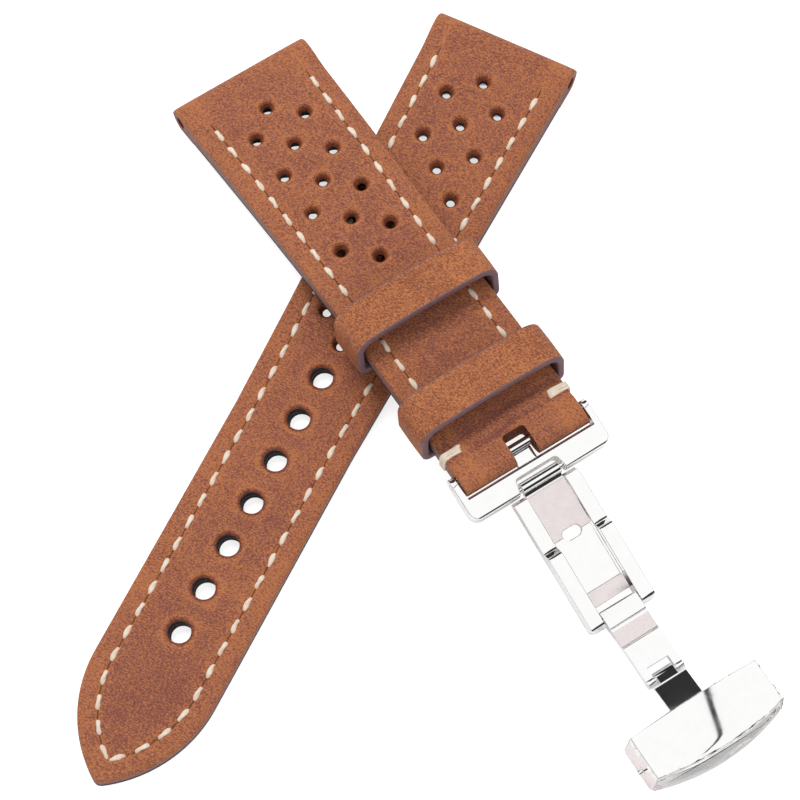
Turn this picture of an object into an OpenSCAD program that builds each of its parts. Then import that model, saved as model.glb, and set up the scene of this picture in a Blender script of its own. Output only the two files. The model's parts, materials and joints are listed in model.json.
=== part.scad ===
// Two-piece perforated leather watch strap with a folding clasp, lying open.
// The long piece lies flat along -Y with its lug bore on the X axis. The short piece
// lies across it, buckle end raised, and its clasp hangs down to the table.

/* [Lug ends] */
// Width of both pieces at the lugs
lug_width = 22; // [18:0.5:24]
// Thickness at the lugs
lug_thickness = 4.2; // [3.8:0.1:5]
// Radius of the bore for the watch's spring bar
lug_bore_r = 0.95; // [0.8:0.05:1.1]

/* [Long piece] */
// Length from the lug bore to the tip
long_length = 123; // [110:1:135]
// Width of the parallel tail
tail_width = 18.3; // [16:0.1:20]
// Where the long piece's taper ends
long_taper_end = 66; // [50:1:80]
// Thickness of the tail
tail_thickness = 2.2; // [2:0.1:2.6]
// Number of buckle holes
hole_count = 7; // [5:1:8]
// Distance between buckle holes
hole_pitch = 7; // [6:0.1:7.2]
// Distance from the last buckle hole to the tip
hole_to_tip = 23.4; // [20:0.1:28]
// Distance from the last buckle hole to where the sides curve in
hole_to_curve = 7.2; // [3:0.1:9]
// Radius of the rounded tip
tip_r = 1.2; // [1:0.1:3]
// Radius of a buckle hole
hole_r = 1.6; // [1.2:0.05:1.8]

/* [Short piece] */
// Length from the lug bore to the buckle end
short_length = 74; // [70:0.5:80]
// Width of the parallel part that the keepers sit on
short_width = 20; // [18:0.5:20]
// Where the taper from the lug ends
short_taper_end = 41; // [30:1:41]
// Thickness of the buckle end
buckle_end_thickness = 3.2; // [3:0.1:3.6]
// Place of the short piece's lug bore, across and along the long piece
short_place = [-31.2, -21.3];
// Direction of the short piece, from -Y towards +X
short_turn = 59.5; // [58:0.5:61]
// Angle at which the short piece leaves the table
short_rise = 11.5; // [11:0.1:13]
// Radius of the arch in which it lies
short_arch_r = 420; // [400:10:460]

/* [Leather] */
// Thickness of the top leather
top_leather_t = 1.1; // [0.9:0.05:1.2]
// Thickness of the lining
lining_t = 0.75; // [0.6:0.05:0.8]
// Distance from the edge to the stitch line
stitch_inset = 3; // [2.5:0.1:3.5]
// Drop from the padded middle to the edge at the lugs
lug_crown = 0.95; // [0.6:0.05:1.1]
// Drop from the middle to the edge at the thin ends
end_crown = 0.2; // [0.1:0.05:0.3]
// Distance over which the padding runs out
pad_run = 60; // [50:1:70]

/* [Perforations] */
// Distance between perforations of one column
perf_pitch = 7.6; // [7:0.1:8]
// Distance of the side columns from the middle one
perf_column = 4.1; // [3.8:0.1:4.4]
// Distance from the lug bore to the first perforation of the middle column
perf_start = 6.3; // [6:0.1:8]
// Radius of a perforation
perf_r = 0.62; // [0.5:0.02:0.7]
// Radius of the pressed dimple round it
dimple_r = 1.15; // [1:0.05:1.3]
// Depth of the dimple
dimple_depth = 0.35; // [0.2:0.05:0.4]
// Perforations in the middle column of the long piece
long_perf_count = 7; // [5:1:7]
// Perforations in the middle column of the short piece
short_perf_count = 5; // [4:1:5]

/* [Keepers] */
// Width of a keeper, along the strap
keeper_width = 6.4; // [5:0.1:7]
// Thickness of the keeper leather
keeper_t = 1.1; // [0.9:0.05:1.2]
// Distance from the lug bore to the middle of the free keeper
free_keeper_at = 46.3; // [45:0.1:49]
// Distance from the lug bore to the middle of the fixed keeper
fixed_keeper_at = 62.4; // [60:0.1:63]
// Play of the free keeper round the strap
free_keeper_play = 0.35; // [0.3:0.05:0.5]
// Play of the fixed keeper round the strap
fixed_keeper_play = 0.15; // [0.1:0.05:0.2]
// Outer radius of a keeper's upper corners
keeper_corner_r = 3; // [2:0.1:3.4]
// Room beside the strap inside a keeper
keeper_side_room = 0.5; // [0.2:0.05:0.8]

/* [Clasp frame] */
// Distance from the spring bar to the buckle end's edge
bar_to_edge = 2.35; // [2.2:0.05:2.6]
// Width of the notch in the buckle end
notch_width = 3.6; // [3.2:0.1:4]
// Depth of that notch
notch_depth = 4.2; // [4:0.1:4.6]
// Radius of the spring bar's tube
bar_tube_r = 0.7; // [0.6:0.05:0.75]
// Thickness of the frame's side arms
frame_arm_t = 1; // [0.9:0.05:1.3]
// Depth of the frame's front bar
frame_bar_depth = 3.5; // [3.3:0.1:3.8]
// Height of the frame
frame_height = 2.6; // [2.4:0.1:3]
// Wall left behind the recess for the hinge
frame_bridge = 1.3; // [1.1:0.05:1.4]
// Half width of the recess at its inner wall
recess_half_in = 3.35; // [3.2:0.05:3.6]
// Half width of the recess at its mouth
recess_half_out = 3.9; // [3.7:0.05:4.2]
// Angle at which the frame hangs below the level
frame_rest = 12; // [8:1:16]

/* [Clasp blades] */
// Distance between the hinges of the outer blade
outer_length = 20.9; // [20:0.1:23]
// Width of the outer blade
outer_width = 10.4; // [10:0.1:11]
// Distance between the hinges of the inner blade
inner_length = 10.5; // [10.3:0.1:11]
// Width of the inner blade
inner_width = 5.9; // [5.7:0.1:6]
// Width of the tongue's barrel, between the inner blade's eyes
tongue_width = 3.1; // [2.8:0.1:4.2]
// Width of the tongue past its barrel
tongue_plate_width = 5.2; // [5:0.1:5.8]
// Thickness of the outer blade's floor
floor_t = 0.7; // [0.6:0.05:0.8]
// Radius of the hinge pins
pin_r = 0.45; // [0.4:0.01:0.48]
// Running clearance between a pin and what turns on it
pin_play = 0.05; // [0.04:0.01:0.08]

/* [Clasp cover] */
// Length of the cover's top, across the strap
cover_width = 20.2; // [20:0.1:21]
// Distance by which each end wall leans out towards its foot
cover_splay = 0.5; // [0.2:0.1:0.6]
// Depth of the cover at its ends
cover_depth = 6.6; // [6.4:0.1:7]
// Bulge of the cover's far edge
cover_bulge = 1.3; // [1:0.1:1.6]
// Distance by which the lower bar stands out past that edge
bar_reach = 0.6; // [0.4:0.1:0.8]
// Rise of the cover's top from its ends to its middle
cover_dome = 1.3; // [0.8:0.1:1.5]
// Distance from the cover's hinge to its near edge
cover_start = 5.8; // [5.6:0.1:6]
// Thickness of the cover's sheet
cover_t = 0.9; // [0.8:0.05:1]
// Height of the room for the tail, between tongue and cover
tail_slot = 2.7; // [2.5:0.1:2.8]

/* [Hidden] */

orange_tan = [0.66, 0.33, 0.14];
dark_tan = [0.5, 0.24, 0.12];
charcoal = [0.13, 0.12, 0.13];
felt = [0.7, 0.62, 0.5];
steel = [0.85, 0.85, 0.87];
satin_steel = [0.72, 0.7, 0.7];

table_z = -lug_thickness / 2;
nose_r = lug_thickness / 2;
// Where the lining and the padding begin, behind the lug bore
lining_start = 3.3;
step = 0.05;
padding_gap = 0.05;
// Width of the slope at the padding's edge
padding_skive = 0.9;
// Room between the stitch line and the padding
padding_to_stitch = 0.4;

// Ease from 0 to 1
function ease(t) = let (c = min(1, max(0, t))) c * c * (3 - 2 * c);
function mix(a, b, t) = a + (b - a) * t;

// Long piece: half width, tapering, then parallel, then two arcs and a rounded tip that touches both arcs
last_hole = long_length - hole_to_tip;
tip_start = last_hole + hole_to_curve;
function long_taper(s) = mix(lug_width, tail_width, min(1, s / long_taper_end)) / 2;
tip_half = long_taper(tip_start);
tip_centre = long_length - tip_start - tip_r;
tip_arc_r = (tip_centre * tip_centre + tip_half * tip_half - tip_r * tip_r) / (2 * (tip_half - tip_r));
tip_meet = tip_start + tip_centre * tip_arc_r / (tip_arc_r - tip_r);
function long_half(s) = s <= tip_start ? long_taper(max(s, 0))
    : s <= tip_meet ? tip_half - tip_arc_r + sqrt(tip_arc_r * tip_arc_r - pow(s - tip_start, 2))
    : sqrt(max(0.01, tip_r * tip_r - pow(s - tip_start - tip_centre, 2)));
function long_base(s) = s >= 0 ? table_z : -sqrt(nose_r * nose_r - s * s);
function long_thick(s) = s >= 0 ? mix(lug_thickness, tail_thickness, ease(s / pad_run)) : -2 * long_base(s);
function crown_of(s, run) = mix(0.1, 1, ease(s / 5)) * mix(lug_crown, end_crown, ease(s / run));
function long_crown(s) = s >= 0 ? crown_of(s, pad_run) : 0.1 * lug_crown;
nose_stations = [for (a = [78, 62, 42, 20]) -nose_r * sin(a)];
long_tip_stations = concat([for (k = [0:8]) mix(tip_start, tip_meet, sin(k * 10))],
    [for (k = [0:5]) mix(tip_meet, long_length, sin(k * 18))]);
long_stations = concat(nose_stations, [0, 1.5, lining_start, lining_start + step,
    6, 10, 15, 22, 30, 38, 46, 54,
    pad_run + 2, 76, 90], long_tip_stations);
long_pad_end = mix(tip_start, long_length, 0.62);

// Short piece: an arch that rises from the table
arch_x = short_arch_r * sin(short_rise);
arch_z = short_arch_r * cos(short_rise);
function arch(s) = sqrt(short_arch_r * short_arch_r - pow(s - arch_x, 2)) - arch_z;
function arch_slope(s) = asin((arch_x - s) / short_arch_r);
bar_at = short_length - bar_to_edge;
bar_height = arch(bar_at) + buckle_end_thickness / 2;
function short_half(s) = mix(lug_width, short_width, min(1, max(0, s) / short_taper_end)) / 2;
function end_swell(s) = s <= bar_at ? buckle_end_thickness
    : buckle_end_thickness * sqrt(max(0.02, 1 - pow((s - bar_at) / (bar_to_edge + 0.05), 2)));
function short_thick(s) = s < 0 ? 2 * sqrt(nose_r * nose_r - s * s)
    : s <= bar_at ? mix(lug_thickness, buckle_end_thickness, ease(s / short_taper_end)) : end_swell(s);
function short_base(s) = s < 0 ? -sqrt(nose_r * nose_r - s * s)
    : table_z + arch(s) + (s > bar_at ? (buckle_end_thickness - end_swell(s)) / 2 : 0);
function short_crown(s) = s < 0 ? 0.1 * lug_crown
    : s <= bar_at ? crown_of(s, short_taper_end) : end_crown * end_swell(s) / buckle_end_thickness;
lining_to_bar = 3.2;
short_lining_end = bar_at - lining_to_bar;
short_stations = concat(nose_stations, [0, 1.5, lining_start, lining_start + step, 6, 10, 15, 20, 25, 30, 35,
    short_taper_end, 48, 55, 62, short_lining_end - step, short_lining_end],
    [for (k = [0:7]) bar_at + bar_to_edge * sin(k * 90 / 7)]);

// Heights across a piece, u from -1 to 1
crown_flat = 0.62;
function drop(u) = pow(max(0, (abs(u) - crown_flat) / (1 - crown_flat)), 2);
top_across = [-1, -0.95, -0.88, -0.8, -0.7, -0.45, 0, 0.45, 0.7, 0.8, 0.88, 0.95, 1];

// Padding: half width at its foot and at its top, at one station
function pad_foot(half) = max(0.5 * half, half - stitch_inset - padding_to_stitch);
function pad_top(half) = max(0.3 * half, pad_foot(half) - padding_skive);

// One ring of the top leather: its face, then its underside over lining and padding
function leather_ring(s, half, base, thick, crown, lined, padded) =
    let (foot = pad_foot(half), top = pad_top(half), low = base + (lined ? lining_t : 0),
        under = padded ? base + thick - top_leather_t : low)
    concat([for (u = top_across) [s, u * half, base + thick - crown * drop(u)]],
        [[s, half, low], [s, foot, low], [s, top, under - (padded ? crown * drop(top / half) : 0)],
            [s, 0.4 * top, under], [s, -0.4 * top, under],
            [s, -top, under - (padded ? crown * drop(top / half) : 0)], [s, -foot, low], [s, -half, low]]);

function padding_ring(s, half, base, thick, crown) =
    let (foot = pad_foot(half) - padding_gap, top = pad_top(half) - padding_gap, low = base + lining_t,
        high = base + thick - top_leather_t - padding_gap, edge = high - crown * drop(top / half))
    [[s, -foot, low], [s, -top, edge], [s, -0.4 * top, high],
        [s, 0.4 * top, high], [s, top, edge], [s, foot, low]];

function lining_ring(s, half, base) =
    [[s, -half, base], [s, -half, base + lining_t], [s, half, base + lining_t], [s, half, base]];

// A closed skin through rings that all have the same number of points, closed at both ends by a fan
function centre(ring) = let (n = len(ring)) [for (k = [0:2]) [for (p = ring) p[k]] * [for (p = ring) 1 / n]];
module skin(rings) {
    n = len(rings[0]);
    m = len(rings);
    sides = [for (i = [0:m - 2], j = [0:n - 1]) let (a = i * n + j, b = i * n + (j + 1) % n)
        each [[a, b + n, a + n], [a, b, b + n]]];
    ends = [for (j = [0:n - 1]) let (k = (j + 1) % n, last = (m - 1) * n)
        each [[k, j, n * m], [last + j, last + k, n * m + 1]]];
    polyhedron(concat([for (ring = rings) each ring], [centre(rings[0]), centre(rings[m - 1])]),
        concat(sides, ends));
}

// Places along the middle and the side columns of the perforations
function perforations(count) = concat(
    [for (k = [0:count - 1]) [perf_start + k * perf_pitch, 0]],
    [for (k = [0:count - 2], side = [-1, 1]) [perf_start + (k + 0.5) * perf_pitch, side * perf_column]]);

// A punched hole whose rim is pressed down, with the leather's face at z = 0
module punch(rim_r, hole_radius) {
    rotate_extrude($fn = 32)
        polygon([[0, -2 * lug_thickness], [hole_radius, -2 * lug_thickness], [hole_radius, -dimple_depth],
            [rim_r, 0], [rim_r, lug_thickness / 2], [0, lug_thickness / 2]]);
}

module long_frame() rotate([0, 0, -90]) children();
module short_frame() translate([short_place.x, short_place.y, 0]) rotate([0, 0, short_turn - 90]) children();

hole_places = [for (k = [0:hole_count - 1]) last_hole - k * hole_pitch];

module long_holes() {
    for (p = perforations(long_perf_count))
        translate([p.x, p.y, table_z + long_thick(p.x)]) punch(dimple_r, perf_r);
    for (x = hole_places)
        translate([x, 0, table_z + long_thick(x)]) punch(hole_r + 0.3, hole_r);
}

module short_holes() {
    for (p = perforations(short_perf_count))
        translate([p.x, p.y, table_z + arch(p.x) + short_thick(p.x)]) punch(dimple_r, perf_r);
}

module across(r, half, fn = 32) rotate([90, 0, 0]) cylinder(r = r, h = 2 * half, center = true, $fn = fn);

module long_top_leather() color(orange_tan) long_frame() difference() {
    skin([for (s = long_stations) leather_ring(s, long_half(s), long_base(s), long_thick(s), long_crown(s),
        s > lining_start, s > lining_start && s < long_pad_end)]);
    across(lug_bore_r, lug_width);
    long_holes();
}

module long_padding() color(felt) long_frame() difference() {
    skin([for (s = long_stations) if (s > lining_start && s < long_pad_end)
        padding_ring(s + (s < 2 * lining_start ? step : 0), long_half(s), long_base(s), long_thick(s),
            long_crown(s))]);
    long_holes();
}

module long_lining() color(charcoal) long_frame() difference() {
    skin([for (s = long_stations) if (s > lining_start) lining_ring(s + (s < 2 * lining_start ? step : 0),
        long_half(s), long_base(s))]);
    long_holes();
}

module buckle_notch() translate([short_length - notch_depth, -notch_width / 2, table_z])
    cube([2 * notch_depth, notch_width, 10 * lug_thickness]);

module short_top_leather() color(orange_tan) short_frame() difference() {
    skin([for (s = short_stations) leather_ring(s, short_half(s), short_base(s), short_thick(s),
        short_crown(s),
        s > lining_start && s < short_lining_end, s > lining_start && s < short_lining_end)]);
    across(lug_bore_r, lug_width);
    translate([bar_at, 0, table_z + bar_height]) across(bar_tube_r + 0.12, short_width);
    short_holes();
    buckle_notch();
}

module short_padding() color(felt) short_frame() difference() {
    skin([for (s = short_stations) if (s > lining_start && s < short_lining_end)
        padding_ring(s + (s < 2 * lining_start ? step : 0), short_half(s), short_base(s), short_thick(s),
            short_crown(s))]);
    short_holes();
}

module short_lining() color(charcoal) short_frame() difference() {
    skin([for (s = short_stations) if (s > lining_start && s < short_lining_end)
        lining_ring(s + (s < 2 * lining_start ? step : 0), short_half(s), short_base(s))]);
    short_holes();
}

// Keepers: a loop that fits the strap's lower corners, with wide upper corners and a slightly domed top
function corner(cx, cz, r, from) =
    [for (k = [0:5]) [cx + r * cos(from + k * 18), cz + r * sin(from + k * 18)]];
function loop_outline(half, low, high, r, low_r, dome) = concat(
    corner(half - low_r, low + low_r, low_r, -90), corner(half - r, high - r, r, 0),
    [for (k = [-3:3]) [-k / 4 * (half - r), high + dome * (1 - pow(k / 4, 2))]],
    corner(-half + r, high - r, r, 90), corner(-half + low_r, low + low_r, low_r, 180));
keeper_low_r = 0.3;
keeper_inner_h = buckle_end_thickness + tail_thickness + 0.3;
keeper_dome = 0.35;
keeper_inner_half = short_width / 2 + keeper_side_room;

module keeper(at, play) translate([at, 0, table_z + arch(at)]) rotate([0, -arch_slope(at), 0])
    translate([-keeper_width / 2, 0, 0]) rotate([90, 0, 90]) linear_extrude(keeper_width) difference() {
        polygon(loop_outline(keeper_inner_half + keeper_t, -play - keeper_t, keeper_inner_h + keeper_t,
            keeper_corner_r, keeper_low_r + keeper_t, keeper_dome));
        polygon(loop_outline(keeper_inner_half, -play, keeper_inner_h, keeper_corner_r - keeper_t,
            keeper_low_r,
            keeper_dome));
    }

module fixed_keeper() color(dark_tan) short_frame() keeper(fixed_keeper_at, fixed_keeper_play);
module free_keeper() color(dark_tan) short_frame() keeper(free_keeper_at, free_keeper_play);

// Clasp: each piece is drawn about its own hinge, x along the clasp, and turned down by its rest angle
function turned(v, a) = [v.x * cos(a) + v.z * sin(a), 0, -v.x * sin(a) + v.z * cos(a)];
frame_start = bar_to_edge + 0.25;
frame_front = frame_start + frame_bar_depth;
frame_top = frame_height / 2 - 0.2;
frame_low = frame_top - frame_height;
arm_inner = short_width / 2 + 0.2;
frame_half = arm_inner + frame_arm_t;
barrel_r = 0.85;
barrel_to_front = 0.85;
frame_hinge = [frame_front - barrel_to_front, 0, -0.2];

// Outer blade, about the frame's hinge
rail_start_r = 1.5;
floor_low = -1;
floor_top = floor_low + floor_t;
low_rail_top = 0.5;
high_rail_top = 1.75;
rail_step_from = 0.425 * outer_length;
rail_step_to = 0.49 * outer_length;
plate_from = 0.41 * outer_length;
plate_to = 0.8 * outer_length;
plate_rise = 0.12;
release_half = 0.65;
release_r = 0.8;
fold_boss_r = 0.9;
fold_hinge = [outer_length, 0, high_rail_top - fold_boss_r];
rail_end = outer_length + 1;
rail_corner_r = 0.8;
floor_to_hinge = 1.95;
floor_end = outer_length - floor_to_hinge;
channel_half = inner_width / 2 + 0.1;

// Inner blade, about the fold hinge
block_from = -1.15;
block_to = 1.75;
block_top = 0.95;
block_low = -0.75;
strip_z = 0.55;
strip_from = block_to + 0.5;
strip_length = 2.35;
strip_to = strip_from + strip_length;
skin_top = 0.68;
skin_low = 0.15;
flange_low = -0.4;
eye_r = 0.76;
window_from = inner_length - 1.8;
tongue_slot_half = tongue_width / 2 + 0.12;

// Tongue, about the cover hinge
tongue_t = 0.55;
cover_hinge_r = 0.9;
shoulder_from = 1;
shoulder_low = 0.55;
ramp_from = 1.5;
ramp_to = cover_start + 0.2;
tongue_high_z = 1.1;
cover_bar_r = 0.45;
cover_hub_r = 0.68;
cover_bar_from_edge = 3.9;
cover_bar_above_plate = 0.5;
cover_bar_at = [cover_start + cover_bar_from_edge, 0, tongue_high_z + cover_bar_above_plate];
peg_r = 0.9;
peg_at = cover_start + 1.6;

// Cover shell, about the cover hinge
tongue_top = tongue_high_z + tongue_t;
roof_z = tongue_top + tail_slot;
cover_low = -0.4;
cover_end = cover_start + cover_depth;
cover_wall_t = 0.9;
front_bar_h = 1.7;
front_bar_t = 1.2;
bulge_r = (pow(cover_width / 2, 2) + cover_bulge * cover_bulge) / (2 * cover_bulge);
dome_r = (pow(cover_width / 2, 2) + cover_dome * cover_dome) / (2 * cover_dome);
foot_half = cover_width / 2 + cover_splay;
bar_bulge = cover_bulge + bar_reach;
bar_bulge_r = (foot_half * foot_half + bar_bulge * bar_bulge) / (2 * bar_bulge);

// Rest angles, from where each hinge lies above the table
fold_hinge_above = 2.2;
cover_hinge_above = 1.2;
frame_hinge_place = [bar_at, 0, bar_height] + turned(frame_hinge, frame_rest);
outer_rest = asin((frame_hinge_place.z - fold_hinge_above) / norm(fold_hinge))
    + atan2(fold_hinge.z, fold_hinge.x);
fold_hinge_place = frame_hinge_place + turned(fold_hinge, outer_rest);
inner_rest = asin((fold_hinge_above - cover_hinge_above) / inner_length);
cover_hinge_place = fold_hinge_place + turned([inner_length, 0, 0], inner_rest);
cover_rest = asin((cover_hinge_above + cover_low) / (cover_end + bar_bulge));

module at_hinge(place, angle) short_frame() translate([place.x, 0, table_z + place.z]) rotate([0, angle, 0])
    children();
module on_bar() at_hinge([bar_at, 0, bar_height], arch_slope(bar_at) * -1) children();
module on_frame() at_hinge([bar_at, 0, bar_height], frame_rest) children();
module on_outer() at_hinge(frame_hinge_place, outer_rest) children();
module on_inner() at_hinge(fold_hinge_place, inner_rest) children();
module on_cover() at_hinge(cover_hinge_place, cover_rest) children();

// A flat profile in x and z, drawn to both sides of the middle
module both_ways(half) rotate([90, 0, 0]) linear_extrude(2 * half, center = true) children();
// The same between two distances from the middle, on both sides
module on_sides(from, to) for (side = [0, 1]) mirror([0, side, 0])
    translate([0, to, 0]) rotate([90, 0, 0]) linear_extrude(to - from) children();
module rounded_square(from, to, r) {
    translate([from.x + r, from.y]) square([to.x - from.x - 2 * r, to.y - from.y]);
    translate([from.x, from.y + r]) square([to.x - from.x, to.y - from.y - 2 * r]);
    for (x = [from.x + r, to.x - r], y = [from.y + r, to.y - r]) translate([x, y]) circle(r, $fn = 32);
}

tip_half_length = 3.2;
tube_half = short_width / 2 - 0.55;
tip_journal_r = 0.4;
tube_bore_r = 0.5;
module spring_bar_tube() color(steel) on_bar() difference() {
    across(bar_tube_r, tube_half);
    across(tube_bore_r, tube_half + 1);
}

module spring_bar_tips() color(satin_steel) on_bar() for (side = [0, 1]) mirror([0, side, 0])
    rotate([-90, 0, 0]) rotate_extrude($fn = 32) polygon([[0, tube_half - tip_half_length],
        [tube_bore_r - 0.02, tube_half - tip_half_length], [tube_bore_r - 0.02, tube_half + 0.1],
        [bar_tube_r, tube_half + 0.1], [bar_tube_r, tube_half + 0.4], [tip_journal_r, tube_half + 0.4],
        [tip_journal_r, frame_half - 0.1], [tip_journal_r - 0.15, frame_half + 0.05],
        [0, frame_half + 0.05]]);

// A coil spring between the two tips, swept along its helix
coil_turns = 9;
coil_wire_r = 0.09;
coil_r = tube_bore_r - coil_wire_r - 0.04;
coil_half = tube_half - tip_half_length - 0.05 - coil_wire_r;
coil_steps = 12;
module spring_bar_coil() color(satin_steel) on_bar() skin([for (k = [0:coil_turns * coil_steps])
    let (a = k * 360 / coil_steps, y = mix(-coil_half, coil_half, k / (coil_turns * coil_steps)))
    [for (j = [0:5]) let (r = coil_r + coil_wire_r * cos(60 * j))
        [r * cos(a), y - coil_wire_r * sin(60 * j), r * sin(a)]]]);

module recess() linear_extrude(4 * frame_height, center = true) {
    polygon([[frame_start + frame_bridge + 0.5, -recess_half_in],
        [frame_start + frame_bridge + 0.5, recess_half_in],
        [frame_front - 0.5, recess_half_out - 0.25], [frame_front + 1, recess_half_out],
        [frame_front + 1, -recess_half_out], [frame_front - 0.5, 0.25 - recess_half_out]]);
    rounded_square([frame_start + frame_bridge, -recess_half_in], [frame_front, recess_half_in], 0.5);
}

// Frame: a rounded bar in front of the leather, with two arms back to the spring bar
arm_r = 0.95;
arm_z = -0.05;
frame_pin_half = 0.6 * frame_half;
module frame_profile() {
    rounded_square([frame_start, frame_low], [frame_front, frame_top], 0.45);
}
module arm_profile() {
    translate([0, arm_z]) circle(arm_r, $fn = 48);
    polygon([[0, arm_z - arm_r], [frame_start + 1, frame_low], [frame_start + 1, frame_top],
        [frame_start - 1, frame_top], [0, arm_z + arm_r]]);
}
module buckle_frame() color(steel) on_frame() difference() {
    union() {
        intersection() {
            both_ways(frame_half) frame_profile();
            linear_extrude(4 * frame_height, center = true)
                rounded_square([-frame_front, -frame_half], [frame_front, frame_half], 1.5);
        }
        on_sides(arm_inner, frame_half) arm_profile();
        // A lip under the spring bar, in the leather's notch
        both_ways(notch_width / 2 - 0.25) polygon([[-bar_tube_r, frame_low], [frame_start + 0.6, frame_low],
            [frame_start + 0.6, -bar_tube_r - 0.3], [-bar_tube_r, -bar_tube_r - 0.3]]);
    }
    across(tip_journal_r + pin_play, frame_half + 1);
    recess();
    translate(frame_hinge) across(pin_r, frame_pin_half);
}
module frame_hinge_pin() color(satin_steel) on_frame() translate(frame_hinge) across(pin_r, frame_pin_half);

// Outer blade: a channel whose rails sweep up halfway and carry the fold hinge at their ends
step_curve = [for (k = [8:-1:0])
    [mix(rail_step_from, rail_step_to, k / 8), mix(low_rail_top, high_rail_top, ease(k / 8))]];
module rail() {
    polygon(concat([[0, floor_low], [rail_end, floor_low], [rail_end, fold_hinge.z],
        [outer_length, high_rail_top]], step_curve,
        [[rail_start_r + 1, low_rail_top], [0, low_rail_top - 0.45]]));
    translate([outer_length, fold_hinge.z]) circle(fold_boss_r, $fn = 48);
}
module outer_blade() color(steel) on_outer() difference() {
    union() {
        across(barrel_r, recess_half_in - 0.3, 48);
        both_ways(recess_half_in - 0.35) polygon([[-0.1, floor_low + 0.2], [rail_start_r + 0.3, floor_low],
            [rail_start_r + 0.3, floor_top], [0.4, -0.2], [-0.1, -0.2]]);
        intersection() {
            union() {
                both_ways(outer_width) polygon([[rail_start_r, floor_low], [floor_end, floor_low],
                    [floor_end, floor_top], [rail_start_r, floor_top]]);
                on_sides(channel_half, outer_width) difference() {
                    rail();
                    circle(rail_start_r, $fn = 48);
                }
            }
            // Outline from above, with rounded corners at the rails' ends
            linear_extrude(4 * high_rail_top, center = true) rounded_square([0, -outer_width / 2],
                [rail_end, outer_width / 2], rail_corner_r);
        }
        // The raised plate
        translate([plate_from, -channel_half + 0.15, floor_top - 0.1])
            cube([plate_to - plate_from, 2 * channel_half - 0.3, plate_rise + 0.1]);
    }
    // The half-round release hole at the plate's near edge
    translate([plate_from, 0, 0]) linear_extrude(4 * high_rail_top, center = true) {
        for (y = [-release_half, release_half]) translate([0, y]) circle(release_r, $fn = 48);
        translate([-release_r, -release_half]) square([2 * release_r, 2 * release_half]);
    }
    across(pin_r + pin_play, outer_width);
    translate(fold_hinge) across(pin_r, outer_width);
}
module fold_hinge_pin() color(satin_steel) on_outer() translate(fold_hinge)
    across(pin_r, outer_width / 2 + 0.02);

// Inner blade: an upturned channel with a block on the fold hinge and two eyes for the tongue
module inner_blade() color(steel) on_inner() difference() {
    union() {
        both_ways(inner_width / 2) rounded_square([block_from, block_low], [block_to, block_top], 0.3);
        both_ways(inner_width / 2) polygon([[0, skin_low], [window_from, skin_low], [window_from, skin_top],
            [strip_to + 0.2, skin_top], [strip_to + 0.1, strip_z - 0.1], [strip_to, strip_z - 0.1],
            [strip_to - 0.1, strip_z], [strip_from, strip_z], [block_to - 0.1, block_top - 0.3],
            [0, block_top - 0.3]]);
        on_sides(tongue_slot_half, inner_width / 2) {
            polygon([[0, flange_low], [inner_length, flange_low], [inner_length, skin_top],
                [strip_to + 0.2, skin_top], [strip_to, strip_z - 0.1], [0, strip_z - 0.1]]);
            translate([inner_length, 0]) circle(eye_r, $fn = 48);
        }
    }
    across(pin_r + pin_play, inner_width);
    translate([inner_length, 0, 0]) across(pin_r, inner_width);
}
module cover_hinge_pin() color(satin_steel) on_inner() translate([inner_length, 0, 0])
    across(pin_r, inner_width / 2 + 0.02);

// Tongue: a barrel between the blade's eyes, then a wider plate that climbs to carry the tail's peg and
// ends on the cover's bar
module tongue() color(steel) on_cover() difference() {
    union() {
        across(cover_hinge_r, tongue_width / 2 - 0.1, 48);
        both_ways(tongue_width / 2 - 0.1) polygon([[0, 0], [shoulder_from + 0.4, shoulder_low],
            [shoulder_from + 0.4, shoulder_low + tongue_t], [0, cover_hinge_r]]);
        both_ways(tongue_plate_width / 2) polygon([[shoulder_from, shoulder_low], [ramp_from, shoulder_low],
            [ramp_to, tongue_high_z], [cover_bar_at.x, tongue_high_z], [cover_bar_at.x, tongue_top],
            [ramp_to - 0.1, tongue_top], [ramp_from - 0.1, shoulder_low + tongue_t],
            [shoulder_from, shoulder_low + tongue_t]]);
        translate(cover_bar_at) across(cover_hub_r, tongue_plate_width / 2);
    }
    across(pin_r + pin_play, tongue_width);
    translate(cover_bar_at) across(cover_bar_r, tongue_plate_width);
    translate([peg_at, 0, 0]) cylinder(r = peg_r * 0.6, h = 2 * tongue_top, $fn = 32);
}

module tongue_peg() color(satin_steel) on_cover() translate([peg_at, 0, 0]) rotate_extrude($fn = 40)
    polygon([[0, tongue_high_z], [peg_r * 0.6, tongue_high_z], [peg_r * 0.6, tongue_top], [peg_r, tongue_top],
        [peg_r, tongue_top + 1.5], [peg_r - 0.3, tongue_top + 1.8], [0, tongue_top + 1.8]]);

module cover_bar() color(satin_steel) on_cover() translate(cover_bar_at)
    across(cover_bar_r, foot_half + 0.45);

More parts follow.
